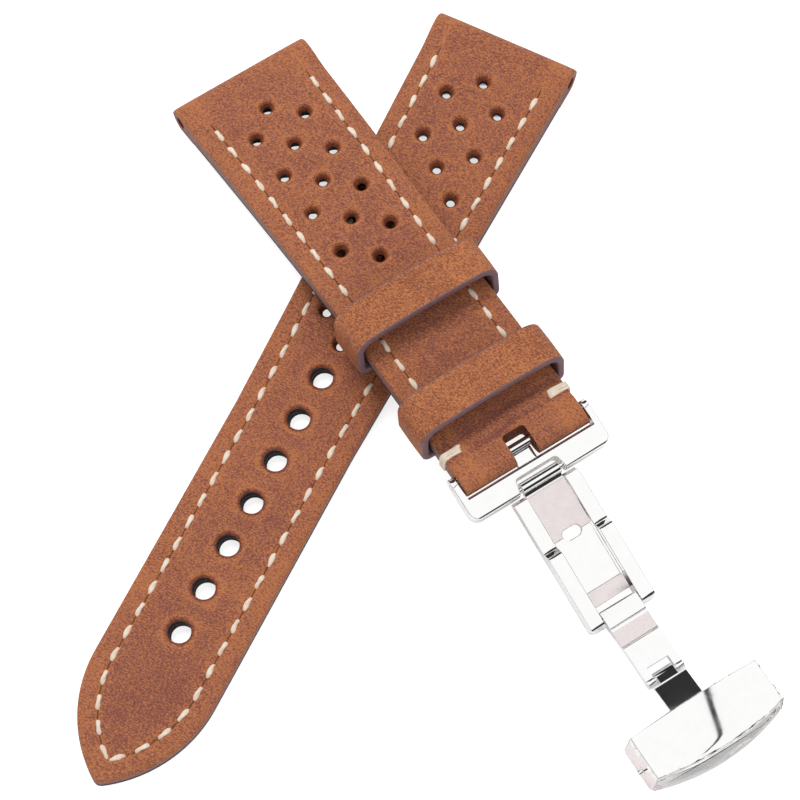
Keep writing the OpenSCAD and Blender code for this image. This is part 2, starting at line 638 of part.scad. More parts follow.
// Outline of the cover's top from above: straight ends and near edge, far edge on one arc
module cover_outline() intersection() {
    translate([cover_start, -cover_width / 2]) square([cover_depth + cover_bulge, cover_width]);
    translate([cover_end + cover_bulge - bulge_r, 0]) circle(bulge_r, $fn = 240);
}
module cover_shell() color(steel) on_cover() difference() {
    union() {
        // The domed plate: its sheet lies between two long arcs
        intersection() {
            translate([0, 0, roof_z - cover_t]) linear_extrude(4 * cover_t + cover_dome) cover_outline();
            translate([0, 0, roof_z + cover_t + cover_dome - dome_r]) rotate([0, 90, 0]) difference() {
                cylinder(r = dome_r, h = 3 * cover_end, $fn = 240);
                cylinder(r = dome_r - cover_t, h = 9 * cover_end, center = true, $fn = 240);
            }
        }
        // End walls that lean out towards their feet
        intersection() {
            rotate([90, 0, 90]) linear_extrude(2 * cover_end) for (side = [0, 1]) mirror([side, 0])
                polygon([[foot_half, cover_low], [cover_width / 2, roof_z + cover_t - 0.1],
                    [cover_width / 2 - cover_wall_t, roof_z + cover_t - 0.1],
                    [foot_half - cover_wall_t, cover_low]]);
            both_ways(cover_width) rounded_square([cover_start, cover_low],
                [cover_end - 0.05, roof_z + cover_t - 0.1], 0.7);
        }
        // The lower bar in front, under the slot for the tail
        translate([0, 0, cover_low]) linear_extrude(front_bar_h) intersection() {
            difference() {
                translate([cover_end + bar_bulge - bar_bulge_r, 0]) circle(bar_bulge_r, $fn = 240);
                translate([cover_end + bar_bulge - front_bar_t - bar_bulge_r, 0])
                    circle(bar_bulge_r, $fn = 240);
            }
            translate([cover_end - front_bar_t, -foot_half + 0.35])
                square([2 * front_bar_t + bar_bulge, 2 * foot_half - 0.7]);
        }
    }
    translate(cover_bar_at) across(cover_bar_r + pin_play, cover_width);
}

long_top_leather();
long_padding();
long_lining();
short_top_leather();
short_padding();
short_lining();
fixed_keeper();
free_keeper();
spring_bar_tube();
spring_bar_tips();
spring_bar_coil();
buckle_frame();
frame_hinge_pin();
outer_blade();
fold_hinge_pin();
inner_blade();
cover_hinge_pin();
tongue();
tongue_peg();
cover_bar();
cover_shell();
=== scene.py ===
import json
import math

import bmesh
import bpy
import numpy as np
from mathutils import Matrix, Vector

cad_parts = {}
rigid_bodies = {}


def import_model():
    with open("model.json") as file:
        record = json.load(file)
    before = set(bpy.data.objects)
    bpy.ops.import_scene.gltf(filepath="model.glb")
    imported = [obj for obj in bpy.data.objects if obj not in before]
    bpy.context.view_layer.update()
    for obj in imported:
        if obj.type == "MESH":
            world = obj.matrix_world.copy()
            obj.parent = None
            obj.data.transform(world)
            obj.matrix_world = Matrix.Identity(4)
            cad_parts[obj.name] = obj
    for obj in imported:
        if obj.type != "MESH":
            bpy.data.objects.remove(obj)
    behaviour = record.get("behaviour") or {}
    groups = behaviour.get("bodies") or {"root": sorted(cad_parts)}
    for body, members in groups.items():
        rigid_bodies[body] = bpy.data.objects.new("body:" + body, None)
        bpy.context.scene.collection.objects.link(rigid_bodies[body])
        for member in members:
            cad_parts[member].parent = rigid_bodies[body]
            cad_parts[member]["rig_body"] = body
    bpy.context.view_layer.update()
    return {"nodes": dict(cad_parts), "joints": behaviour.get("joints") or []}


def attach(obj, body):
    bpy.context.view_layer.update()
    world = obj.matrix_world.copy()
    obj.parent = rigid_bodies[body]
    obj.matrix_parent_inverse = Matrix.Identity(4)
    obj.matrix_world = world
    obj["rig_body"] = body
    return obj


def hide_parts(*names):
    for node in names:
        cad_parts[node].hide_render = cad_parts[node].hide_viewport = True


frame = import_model()
nodes = frame["nodes"]
joint_at = {j["name"]: Vector(j["pos_m"]) for j in frame["joints"] if "pos_m" in j}

# Sizes are in millimetres and angles in degrees. MM turns millimetres into Blender's metres.
MM = 0.001
rng = np.random.RandomState(7)

# Lug ends, as in the CAD. The back of the leather lies on the table.
LUG_W, LUG_T, BORE_R = 22.0, 4.2, 0.95
TABLE = -LUG_T / 2
NOSE = LUG_T / 2

# Long piece: length, width and thickness of its tail, and where its taper ends
LONG_L, TAIL_W, TAIL_T, LONG_TAPER = 123.0, 18.3, 2.2, 66.0
# Its buckle holes: place of the last one, pitch, radius and count
LAST_HOLE, HOLE_PITCH, HOLE_R, HOLE_COUNT = 99.6, 7.0, 1.6, 7
# Its point: where the curved sides start, radius of the tip, and half the width of the last row
TIP_START, TIP_ROUND, TIP_END = 106.8, 1.2, 0.05

# Short piece: length, width at the clasp, where its taper ends, and its thickness from there on
SHORT_L, SHORT_W, SHORT_TAPER, END_T = 74.0, 20.0, 41.0, 3.2
# How it lies: place and direction of its lug end, the slope there, and the radius of its low arch
PLACE, TURN, RISE, ARCH_R = (-31.2, -21.3), 59.5, 11.5, 420.0
ARCH_X = ARCH_R * math.sin(math.radians(RISE))
ARCH_Z = ARCH_R * math.cos(math.radians(RISE))
# Spring bar: distance from the end and radius of its hole
BAR_TO_EDGE, BAR_HOLE_R = 2.35, 0.82
BAR_AT = SHORT_L - BAR_TO_EDGE
# Notch that shows the bar: width, depth and corner radius, and how far out and up its cutter reaches
NOTCH_W, NOTCH_D, NOTCH_R, NOTCH_PAST, NOTCH_TOP = 3.6, 4.2, 0.5, 2, 20
# The end swells round the bar, and its last row keeps some thickness
SWELL_MARGIN, SWELL_LEAST = 0.05, 0.02

# Lining: thickness, where it starts, and how far before the spring bar it ends
LINING_T, LINING_FROM, LINING_TO_BAR = 0.75, 3.3, 3.2
LINING_END = BAR_AT - LINING_TO_BAR
# Crown of the face: its height at the lugs and at the far end, and the run of the long piece's padding
LUG_CROWN, END_CROWN, PAD_RUN = 0.95, 0.2, 60.0
# Its share at the lug bore, the run over which it grows, and how far across the face is flat
NOSE_SHARE, CROWN_RUN, FLAT_U = 0.1, 5, 0.62

# Air holes: pitch, distance of the side columns from the middle, place of the first one, and radius
PERF_PITCH, PERF_COLUMN, PERF_START, PERF_R = 7.6, 4.1, 6.3, 0.62
# Count in the middle column of each piece, and the place behind which only buckle holes lie
LONG_PERFS, SHORT_PERFS, LAST_PERF = 7, 5, 55.5
# Half the length of the patch of mesh round an air hole and round a buckle hole
PERF_REACH, HOLE_REACH = 1.9, 2.7
# How far a line of sight from the camera drifts along x and y for each millimetre of depth
AWAY = Vector((-0.213, 0.386))
# Depth and width of the funnel that an air hole is pressed into, and how much of AWAY its bore follows
FUNNEL_DEPTH, FUNNEL_WIDE, FUNNEL_LEAN = 1.15, 0.44, 0.98
# How far a buckle hole leans along and across for each millimetre of depth, and from which depth on
PUNCH_LEAN, PUNCH_FROM = (-0.08, 0.16), 0.3
# Width of what leans with a hole
LEAN_WIDE = 0.6

# Stitches: inset from the edge, length, the pitch that each row comes near to, and radius of the thread
INSET, STITCH, PITCH, THREAD_R = 2.8, 2.25, 3.58, 0.33
# Where the rows end at the lugs and at the short piece's far end, and their gap at the long piece's point
STITCH_END_LONG, STITCH_END_SHORT, FIRST_STITCH = 5.2, 57.5, 0.2

# Keepers: width, thickness, room beside the strap, and radius of the upper corners inside
KEEPER_W, KEEPER_T, KEEPER_ROOM, KEEPER_R = 6.4, 1.1, 0.5, 1.9
# Room over the tail, radius of the lower corners, rise of the top, edge radius, and crown of the strip
KEEPER_HEADROOM, KEEPER_LOW_R, KEEPER_DOME, KEEPER_EDGE_R, KEEPER_CROWN = 0.3, 0.3, 0.35, 0.28, 0.06
# A point counts as cut edge this far inside the edge radius, and as inside up to this height
KEEPER_CUT, KEEPER_INSIDE = 0.05, 0.2
# Where each keeper sits, and its play below the strap
FREE_AT, FREE_PLAY = 46.3, 0.35
FIXED_AT, FIXED_PLAY = 62.4, 0.15

# Camera, from the fit to the photo's outlines: azimuth, elevation, roll, distance and focal length
VIEW_AZ, VIEW_EL, VIEW_ROLL, VIEW_DIST, VIEW_LENS = 28.9, 66.2, -2.4, 466.0, 150
VIEW_TARGET = (10.9, -55.0, TABLE)


def place_camera():
    az, el, roll = (math.radians(a) for a in (VIEW_AZ, VIEW_EL, VIEW_ROLL))
    back = Vector((math.sin(az) * math.cos(el), -math.cos(az) * math.cos(el), math.sin(el)))
    level = Vector((math.cos(az), math.sin(az), 0))
    up = back.cross(level)
    right = level * math.cos(roll) + up * math.sin(roll)
    up = back.cross(right)
    place = (Vector(VIEW_TARGET) + back * VIEW_DIST) * MM
    cam = bpy.data.cameras.new("camera")
    cam.lens = VIEW_LENS
    cam.sensor_width = 36
    cam.clip_start = 0.01
    cam.clip_end = 10
    ob = bpy.data.objects.new("camera", cam)
    bpy.context.scene.collection.objects.link(ob)
    turn = Matrix((right, up, back)).transposed().to_4x4()
    ob.matrix_world = Matrix.Translation(place) @ turn
    bpy.context.scene.camera = ob


place_camera()


def ease(t):
    """Smooth rise from 0 at t = 0 to 1 at t = 1."""
    c = np.clip(t, 0, 1)
    return c * c * (3 - 2 * c)


def mix(a, b, t):
    return a + (b - a) * t


def bell(x, wide):
    """1 at x = 0, and falling to 0 on both sides."""
    return np.exp(-(x / wide) ** 2)


# Shape of the long piece: s runs from the lug bore to the tip, q across
TIP_HALF = TAIL_W / 2
TIP_C = LONG_L - TIP_START - TIP_ROUND
TIP_R = (TIP_C ** 2 + TIP_HALF ** 2 - TIP_ROUND ** 2) / (2 * (TIP_HALF - TIP_ROUND))
TIP_MEET = TIP_START + TIP_C * TIP_R / (TIP_R - TIP_ROUND)


def long_half(s):
    s = np.asarray(s, float)
    side = mix(LUG_W, TAIL_W, np.clip(s / LONG_TAPER, 0, 1)) / 2
    arc = TIP_HALF - TIP_R + np.sqrt(np.maximum(0, TIP_R ** 2 - (s - TIP_START) ** 2))
    tip = np.sqrt(np.maximum(TIP_END ** 2, TIP_ROUND ** 2 - (s - TIP_START - TIP_C) ** 2))
    return np.where(s <= TIP_START, side, np.where(s <= TIP_MEET, arc, tip))


def long_edge(s, q):
    """Distance to the long piece's outline."""
    side = long_half(np.minimum(s, TIP_START)) - np.abs(q)
    arc = TIP_R - np.hypot(s - TIP_START, np.abs(q) + TIP_R - TIP_HALF)
    tip = TIP_ROUND - np.hypot(s - TIP_START - TIP_C, q)
    ahead = (s - TIP_START - TIP_C) * (TIP_R - TIP_HALF) > np.abs(q) * TIP_C
    return np.where(s <= TIP_START, side, np.where(ahead, tip, arc))


def nose(s):
    """Half the height of the rounded lug end."""
    return np.sqrt(np.maximum(0, NOSE ** 2 - np.minimum(s, 0) ** 2))


def long_base(s):
    return np.where(s >= 0, TABLE, -nose(s))


def long_thick(s):
    return np.where(s >= 0, mix(LUG_T, TAIL_T, ease(s / PAD_RUN)), 2 * nose(s))


def crown_of(s, run):
    """Height of the crown, which falls from its lug value to its end value over a run."""
    body = mix(NOSE_SHARE, 1, ease(s / CROWN_RUN)) * mix(LUG_CROWN, END_CROWN, ease(s / run))
    return np.where(s >= 0, body, NOSE_SHARE * LUG_CROWN)


# Shape of the short piece, which lies in a low arch
def arch(s):
    return np.sqrt(ARCH_R ** 2 - (s - ARCH_X) ** 2) - ARCH_Z


def arch_slope(s):
    return math.asin((ARCH_X - s) / ARCH_R)


def short_half(s):
    return mix(LUG_W, SHORT_W, np.clip(s / SHORT_TAPER, 0, 1)) / 2


def short_edge(s, q):
    return short_half(s) - np.abs(q)


def end_swell(s):
    """Thickness of the end that is folded round the spring bar."""
    t = np.clip((s - BAR_AT) / (BAR_TO_EDGE + SWELL_MARGIN), 0, 1)
    return END_T * np.sqrt(np.maximum(SWELL_LEAST, 1 - t * t))


def short_thick(s):
    body = mix(LUG_T, END_T, ease(s / SHORT_TAPER))
    return np.where(s < 0, 2 * nose(s), np.where(s <= BAR_AT, body, end_swell(s)))


def short_base(s):
    raised = np.where(s > BAR_AT, (END_T - end_swell(s)) / 2, 0)
    return np.where(s < 0, -nose(s), TABLE + arch(s) + raised)


def drop(u):
    """Share of the crown that a face has lost at u across, from 0 in the middle to 1 at the edge."""
    return np.maximum(0, (np.abs(u) - FLAT_U) / (1 - FLAT_U)) ** 2


# From a piece's own (s, q, z) to the row frame, in metres
TURNED = math.radians(TURN - 90)
ALONG = Vector((math.cos(TURNED), math.sin(TURNED), 0))
ACROSS = Vector((-math.sin(TURNED), math.cos(TURNED), 0))


def long_row(p):
    p = np.asarray(p, float).reshape(-1, 3)
    return np.stack([p[:, 1], -p[:, 0], p[:, 2]], 1) * MM


def short_row(p):
    p = np.asarray(p, float).reshape(-1, 3)
    x = PLACE[0] + ALONG.x * p[:, 0] + ACROSS.x * p[:, 1]
    y = PLACE[1] + ALONG.y * p[:, 0] + ACROSS.y * p[:, 1]
    return np.stack([x, y, p[:, 2]], 1) * MM


# AWAY in each piece's own (s, q)
LONG_LEAN = (-AWAY.y, AWAY.x)
SHORT_LEAN = (AWAY.dot(ALONG.xy), AWAY.dot(ACROSS.xy))


def new_object(name, mesh):
    ob = bpy.data.objects.new(name, mesh)
    bpy.context.scene.collection.objects.link(ob)
    return ob


def new_mesh(name, verts, faces, attrs=None):
    """A smooth closed mesh whose faces look outwards."""
    me = bpy.data.meshes.new(name)
    me.from_pydata([tuple(v) for v in verts], [], faces)
    for key, values in (attrs or {}).items():
        me.attributes.new(key, "FLOAT", "POINT").data.foreach_set("value", np.asarray(values, np.float32))
    bm = bmesh.new()
    bm.from_mesh(me)
    bmesh.ops.recalc_face_normals(bm, faces=bm.faces)
    bm.to_mesh(me)
    bm.free()
    me.polygons.foreach_set("use_smooth", [True] * len(me.polygons))
    return new_object(name, me)


def spaced(marks, step):
    """Sorted values that contain every mark, with no gap over step."""
    marks = sorted(set(round(float(m), 6) for m in marks))
    out = [marks[0]]
    for a, b in zip(marks, marks[1:]):
        n = max(1, int(math.ceil((b - a) / step - 1e-6)))
        out += [a + (b - a) * (k + 1) / n for k in range(n)]
    return out


# Column, from -1 to 1 across a piece, of the stitch line, and its least share of the width at the tip
SEAM_U, SEAM_LEAST = 0.72, 0.6
# Borders of the patches round the middle air holes, the side ones and the buckle holes
MID_U, SIDE_U0, SIDE_U1, HOLE_U = 0.175, 0.2, 0.575, 0.33
COLUMN_STEP = 0.06


def column(u, half):
    """Distance q from the middle at column u, where the piece is half wide."""
    seam = np.maximum(half - INSET, SEAM_U * half * SEAM_LEAST)
    a = np.abs(u)
    inner = a / SEAM_U * seam
    outer = seam + (a - SEAM_U) / (1 - SEAM_U) * (half - seam)
    return np.sign(u) * np.where(a <= SEAM_U, inner, outer)


def both_sides(values):
    return sorted({round(v, 6) for v in values} | {round(-v, 6) for v in values})


SEAM_COLUMNS = [SEAM_U + e for e in (-0.09, -0.055, -0.032, -0.014, 0, 0.014, 0.032, 0.055, 0.1)]
EDGE_COLUMNS = [1 - e for e in (0, 0.004, 0.012, 0.025, 0.045, 0.08, 0.12)]
HOLE_COLUMNS = spaced([0, MID_U, SIDE_U0, HOLE_U, SIDE_U1], COLUMN_STEP)
COLUMNS = both_sides(HOLE_COLUMNS + SEAM_COLUMNS + EDGE_COLUMNS)
BACK_COLUMNS = [0.66, 0.7, 0.72, 0.74, 0.78, 0.86, 0.94, 0.98, 0.995, 1]
LINING_COLUMNS = both_sides(HOLE_COLUMNS + BACK_COLUMNS)
# Rings of points from the border of a patch, at 1, to the rim of its hole, at 0
RING_STEPS = (0.8, 0.62, 0.46, 0.32, 0.2, 0.11, 0.045, 0.0)
# Rows of points down the outer edge and down a bore, and the mark that each leaves in the attribute "side"
EDGE_STEPS, BORE_STEPS = (0.12, 0.5, 0.88), (0.15, 0.5, 0.85)
ON_EDGE, IN_BORE = 1, 2
# Distance given to points that have no hole near them
FAR = 9.0


def lean_bores(verts, rim, top_of, lean):
    """Lets an air hole lean away from the camera below its funnel, and a buckle hole as it was punched."""
    depth = top_of(verts[:, 0]) - verts[:, 2]
    near, air = bell(rim, LEAN_WIDE), verts[:, 0] < LAST_PERF
    deep = np.maximum(0, depth - FUNNEL_DEPTH) * FUNNEL_LEAN * near * air
    punched = np.maximum(0, depth - PUNCH_FROM) * near * ~air
    for k in (0, 1):
        verts[:, k] += deep * lean[k] + punched * PUNCH_LEAN[k]


def sheet_mesh(name, rows, columns, half, upper, lower, holes, place, top_of, lean, attrs):
    """A closed sheet over a grid of rows and columns, with a round hole in each patch.
    A hole is (s, q, radius, half length of its patch, low u, high u)."""
    rows, columns = np.array(rows), np.array(columns)
    ni, nj = len(rows), len(columns)
    ss = np.repeat(rows, nj)
    qq = column(np.tile(columns, ni), half(ss))
    points, rims, count = [np.stack([ss, qq], 1)], [np.full(ni * nj, FAR)], ni * nj
    inside = np.zeros((ni - 1, nj - 1), bool)
    faces, loops = [], []
    for hs, hq, radius, reach, u0, u1 in holes:
        i0, i1 = (int(np.argmin(np.abs(rows - (hs + e * reach)))) for e in (-1, 1))
        j0, j1 = (int(np.argmin(np.abs(columns - u))) for u in (u0, u1))
        inside[i0:i1, j0:j1] = True
        loop = [(i, j0) for i in range(i0, i1)] + [(i1, j) for j in range(j0, j1)]
        loop += [(i, j1) for i in range(i1, i0, -1)] + [(i0, j) for j in range(j1, j0, -1)]
        previous = [i * nj + j for i, j in loop]
        away = np.array([[ss[k] - hs, qq[k] - hq] for k in previous])
        distance = np.hypot(away[:, 0], away[:, 1])
        unit = away / distance[:, None]
        n = len(loop)
        for f in RING_STEPS:
            r = radius + (distance - radius) * f
            points.append(np.array([hs, hq]) + unit * r[:, None])
            rims.append(r - radius)
            ring = list(range(count, count + n))
            count += n
            faces += [(previous[k], previous[k - n + 1], ring[k - n + 1], ring[k]) for k in range(n)]
            previous = ring
        loops.append(previous[::-1])
    for i, j in np.argwhere(~inside):
        a = int(i * nj + j)
        faces.append((a, a + nj, a + nj + 1, a + 1))
    flat, rim = np.concatenate(points), np.concatenate(rims)
    kept = np.unique(np.concatenate([np.array(f) for f in faces]))
    index = np.full(count, -1)
    index[kept] = np.arange(len(kept))
    flat, rim = flat[kept], rim[kept]
    faces = [tuple(int(index[k]) for k in f) for f in faces]
    m = len(kept)
    faces += [tuple(k + m for k in reversed(f)) for f in faces]
    s, q = flat[:, 0], flat[:, 1]
    verts = np.concatenate([np.column_stack([flat, z(s, q, rim)]) for z in (upper, lower)])
    sides, rim = [np.zeros(2 * m)], [rim, rim]
    extra, total = [], 2 * m

    def wall(loop, steps, kind):
        """Faces from a loop of the upper face down to the same loop of the lower one."""
        nonlocal total
        n, previous = len(loop), loop
        for t in steps:
            ring = list(range(total, total + n))
            total += n
            extra.append(verts[loop] * (1 - t) + verts[[k + m for k in loop]] * t)
            faces.extend((previous[k - n + 1], previous[k], ring[k], ring[k - n + 1]) for k in range(n))
            previous = ring
        faces.extend((previous[k - n + 1], previous[k], loop[k] + m, loop[k - n + 1] + m) for k in range(n))
        sides.append(np.full(n * len(steps), kind))
        rim.append(np.full(n * len(steps), FAR if kind == ON_EDGE else 0.0))

    border = [i * nj for i in range(ni)] + [(ni - 1) * nj + j for j in range(1, nj)]
    border += [i * nj + nj - 1 for i in range(ni - 2, -1, -1)] + list(range(nj - 2, 0, -1))
    wall([int(index[k]) for k in border], EDGE_STEPS, ON_EDGE)
    for loop in loops:
        wall([int(index[k]) for k in loop], BORE_STEPS, IN_BORE)
    verts = np.concatenate([verts] + extra)
    side, rim = np.concatenate(sides), np.minimum(np.concatenate(rim), FAR)
    values = {key: f(verts[:, 0], verts[:, 1]) for key, f in attrs.items()}
    values.update(side=side, rim=rim)
    lean_bores(verts, rim, top_of, lean)
    return new_mesh(name, place(verts), faces, values)


def rounding(d, r):
    """How far a face has dropped at distance d from an edge of radius r."""
    x = np.clip(d, 0, r)
    return r - np.sqrt(np.maximum(0, r * r - (r - x) ** 2))


# Stitch lines, in (s, q), from the tip's point or the lug end
def long_stitch_line(sign):
    r = TIP_R - INSET
    corner = TIP_START + math.sqrt(r * r - (TIP_R - TIP_HALF) ** 2)
    curved = [(s, sign * max(0.0, TIP_HALF - TIP_R + math.sqrt(r * r - (s - TIP_START) ** 2)))
              for s in np.linspace(corner, TIP_START, 60)]
    straight = [(s, sign * (float(long_half(s)) - INSET))
                for s in np.linspace(TIP_START, STITCH_END_LONG, 120)[1:]]
    return np.array(curved + straight)


def short_stitch_line(sign):
    return np.array([(s, sign * (float(short_half(s)) - INSET))
                     for s in np.linspace(STITCH_END_LONG, STITCH_END_SHORT, 100)])


def stitches_on(line, first):
    """Start and end of each stitch, evenly spaced so that the last one ends with the line."""
    run = np.concatenate([[0], np.cumsum(np.hypot(*np.diff(line, axis=0).T))])
    room = run[-1] - first - STITCH
    count = round(room / PITCH)
    starts = [first + room * k / count for k in range(count + 1)]
    return [tuple(np.array([np.interp(t, run, line[:, k]) for k in (0, 1)]) for t in (a, a + STITCH))
            for a in starts]


long_stitches = [pair for sign in (1, -1) for pair in stitches_on(long_stitch_line(sign), FIRST_STITCH)]
short_stitches = [pair for sign in (1, -1) for pair in stitches_on(short_stitch_line(sign), 0.0)]

# Depth and width of the pits at the stitches' ends, of the groove along a row, and of the lining's groove
PIT_DEPTH, PIT_WIDE = 0.2, 0.45
GROOVE_DEPTH, GROOVE_WIDE = 0.15, 0.3
BACK_GROOVE_DEPTH, BACK_GROOVE_WIDE = 0.34, 0.42
# A seam's relief starts ahead of the first stitch and fades out behind the last one
SEAM_LEAD, SEAM_EASE, SEAM_TRAIL, SEAM_FADE = 2.2, 1.2, 1.5, 2
# Where the lining's groove starts, and the run over which it deepens
BACK_GROOVE_FROM, BACK_GROOVE_RUN = 4, 2
# How far the leather stands up between its rows, and the run over which it rises
PUFF, PUFF_RUN = 0.1, 1.5
# Painted shade of the slit between stitches: width, lap under a stitch, reach beside one, and lead and fade
# at the lug
SLIT_WIDE, SLIT_LAP, SLIT_ROOM, SLIT_LEAD, SLIT_FADE = 0.1, 0.15, 1, 1.6, 0.6
# Pits are worked out only this many widths round a stitch's end
BELL_REACH = 2.5


def near_ends(s, q, stitches, wide):
    """1 at the ends of the stitches, falling to 0 around them."""
    out = np.zeros(len(s))
    for pair in stitches:
        for end in pair:
            near = (np.abs(s - end[0]) < BELL_REACH * wide) & (np.abs(q - end[1]) < BELL_REACH * wide)
            out[near] = np.maximum(out[near], bell(np.hypot(s[near] - end[0], q[near] - end[1]), wide))
    return out


def between(s, q, stitches, edge):
    """1 along the slit between neighbouring stitches, where its shade is painted, 0 under them and away
    from the line.
    """
    covered = np.zeros(len(s))
    for a, b in stitches:
        d = (b - a) / STITCH
        along = (s - a[0]) * d[0] + (q - a[1]) * d[1]
        aside = np.abs((s - a[0]) * d[1] - (q - a[1]) * d[0])
        under = (along > SLIT_LAP) & (along < STITCH - SLIT_LAP) & (aside < SLIT_ROOM)
        covered = np.maximum(covered, under)
    lead = ease((s - STITCH_END_LONG + SLIT_LEAD) / SLIT_FADE)
    return bell(edge - INSET, SLIT_WIDE) * (1 - covered) * lead


def perforations(count):
    """Air holes in three columns, of which the two at the sides lie half a pitch further on."""
    middle = [(PERF_START + k * PERF_PITCH, 0.0) for k in range(count)]
    side = [(PERF_START + (k + 0.5) * PERF_PITCH, sign * PERF_COLUMN)
            for k in range(count - 1) for sign in (-1, 1)]
    holes = [(s, q, PERF_R, PERF_REACH, -MID_U, MID_U) for s, q in middle]
    for s, q in side:
        low, high = sorted((math.copysign(SIDE_U0, q), math.copysign(SIDE_U1, q)))
        holes.append((s, q, PERF_R, PERF_REACH, low, high))
    return holes


def patch_marks(holes):
    """Rows that the patches need: both ends of each and its middle."""
    return [h[0] + e * h[3] for h in holes for e in (-1, 0, 1)]


def seam_relief(z, s, q, edge, stitches, start, end):
    """Sinks the stitch line into a face and raises the leather between its lines."""
    on = ease((s - start + SEAM_LEAD) / SEAM_EASE) * ease((end + SEAM_TRAIL - s) / SEAM_FADE)
    z = z - GROOVE_DEPTH * bell(edge - INSET, GROOVE_WIDE) * on
    z = z + PUFF * ease((edge - INSET) / PUFF_RUN) * on
    return z - PIT_DEPTH * near_ends(s, q, stitches, PIT_WIDE)


# Rows of a mesh round its lug end
NOSE_ROWS = [-NOSE * math.sin(math.radians(a)) for a in (84, 75, 66, 57, 48, 38, 28, 19, 10)]
# Edge radius of the face, of the turned end's underside, of the lining's hidden side and of its back
FACE_R, UNDER_R, LINING_R, BACK_R = 0.5, 0.3, 0.12, 0.25
# Gap between the lining and the leather, and the dent round a buckle hole
LINING_GAP, DENT_DEPTH, DENT_WIDE = 0.04, 0.25, 0.35

# The leather is yellower at the lugs: amount, the place up to which it is, and the run
LUG_WARM, LUG_WARM_TO, LUG_WARM_RUN = 0.05, 3, 4
# It is browner at the long piece's point: amount, place and run, and inset and run
POINT_BROWN, POINT_FROM, POINT_RUN, POINT_INSET, POINT_INSET_RUN = 0.05, 98, 8, 2, 3
# It is yellower at the short piece's end, and painted shade makes it browner in the creases there: amount,
# place and run
END_WARM, END_WARM_FROM, END_WARM_RUN = 0.045, 60, 8
CREASE_PAINTED_SHADE, CREASE_FROM, CREASE_RUN = 1.1, 65, 1.5
# Painted shadow of the fixed keeper makes it browner beside the keeper: amount, place and width
KEEPER_PAINTED_SHADOW, KEEPER_SHADOW_AT, KEEPER_SHADOW_WIDE = 0.1, 66.4, 1.1


def long_top_of(s):
    return long_base(s) + long_thick(s)


def short_top_of(s):
    return short_base(s) + short_thick(s)


def long_upper(s, q, rim):
    edge = long_edge(s, q)
    z = long_top_of(s) - crown_of(s, PAD_RUN) * drop(q / long_half(s))
    z = z - rounding(edge, FACE_R) * np.where(s < 0, np.minimum(1, long_thick(s) / 2), 1)
    z = seam_relief(z, s, q, edge, long_stitches, STITCH_END_LONG, LONG_L)
    funnel = FUNNEL_DEPTH * bell(rim, FUNNEL_WIDE)
    return z - np.where(s < LAST_PERF, funnel, DENT_DEPTH * bell(rim, DENT_WIDE))


def long_lower(s, q, rim):
    return np.where(s > LINING_FROM, long_base(s) + LINING_T, long_base(s))


def lug_warm(s):
    return LUG_WARM * ease((LUG_WARM_TO - s) / LUG_WARM_RUN)


def long_warm(s, q):
    inner = ease((long_edge(s, q) - POINT_INSET) / POINT_INSET_RUN)
    return lug_warm(s) - POINT_BROWN * ease((s - POINT_FROM) / POINT_RUN) * inner


def long_slit_shade(s, q):
    return between(s, q, long_stitches, long_edge(s, q))


def lining_faces(base, edge):
    """Upper and lower face of a lining."""
    def upper(s, q, rim):
        return base(s) + LINING_T - LINING_GAP - rounding(edge(s, q), LINING_R)

    def lower(s, q, rim):
        d = edge(s, q)
        groove = BACK_GROOVE_DEPTH * bell(d - INSET, BACK_GROOVE_WIDE)
        return base(s) + rounding(d, BACK_R) + groove * ease((s - BACK_GROOVE_FROM) / BACK_GROOVE_RUN)
    return upper, lower


# Spacing of rows on a face and a back, half the step at a lining's ends, and the run of the tip's rows
FACE_STEP, BACK_STEP, STEP_HALF, TIP_RUN = 0.42, 1.0, 0.05, 3
lining_start = [LINING_FROM - STEP_HALF, LINING_FROM + STEP_HALF]
lining_stop = [LINING_END - STEP_HALF, LINING_END + STEP_HALF]
tip_rows = [LONG_L - TIP_RUN + TIP_RUN * math.sin(math.radians(a)) for a in range(6, 91, 6)]


def back_rows(marks, corners):
    """Rows of a lining, from where it starts."""
    start = lining_start[1]
    return spaced([start] + corners + [m for m in marks if m > start], BACK_STEP)


long_holes = perforations(LONG_PERFS) + [
    (LAST_HOLE - k * HOLE_PITCH, 0.0, HOLE_R, HOLE_REACH, -HOLE_U, HOLE_U) for k in range(HOLE_COUNT)]
long_marks = patch_marks(long_holes)
long_kit = (long_holes, long_row, long_top_of, LONG_LEAN)
long_rows = spaced([0, TIP_START, LONG_L - TIP_RUN] + lining_start + long_marks, FACE_STEP)
long_top = sheet_mesh(
    "long_face", NOSE_ROWS + long_rows + tip_rows, COLUMNS, long_half, long_upper, long_lower, *long_kit,
    {"edge": long_edge, "warm": long_warm, "slit": long_slit_shade})
long_backing = lining_faces(long_base, long_edge)
long_lining = sheet_mesh(
    "long_backing", back_rows(long_marks, [TIP_START, LONG_L - TIP_RUN]) + tip_rows[1::2], LINING_COLUMNS,
    long_half, *long_backing, *long_kit, {"edge": long_edge})


# Soft folds across the buckle end: place, height and width along the piece
FOLDS = ((66.6, -0.14, 0.55), (67.7, 0.2, 0.6), (68.9, -0.2, 0.5), (69.9, 0.12, 0.5))
# Where they start, and the length over which they do
FOLDS_FROM, FOLDS_EASE = 65.6, 0.8
# How they bend across: size, pace and shift of a long wave, and size and pace of a short one
FOLD_BEND, FOLD_RIPPLE = (0.35, 0.33, 0.6), (0.12, 0.9)
# Their least height, as a share, and the pace at which it varies across
FOLD_LEAST, FOLD_PACE = 0.75, 0.5


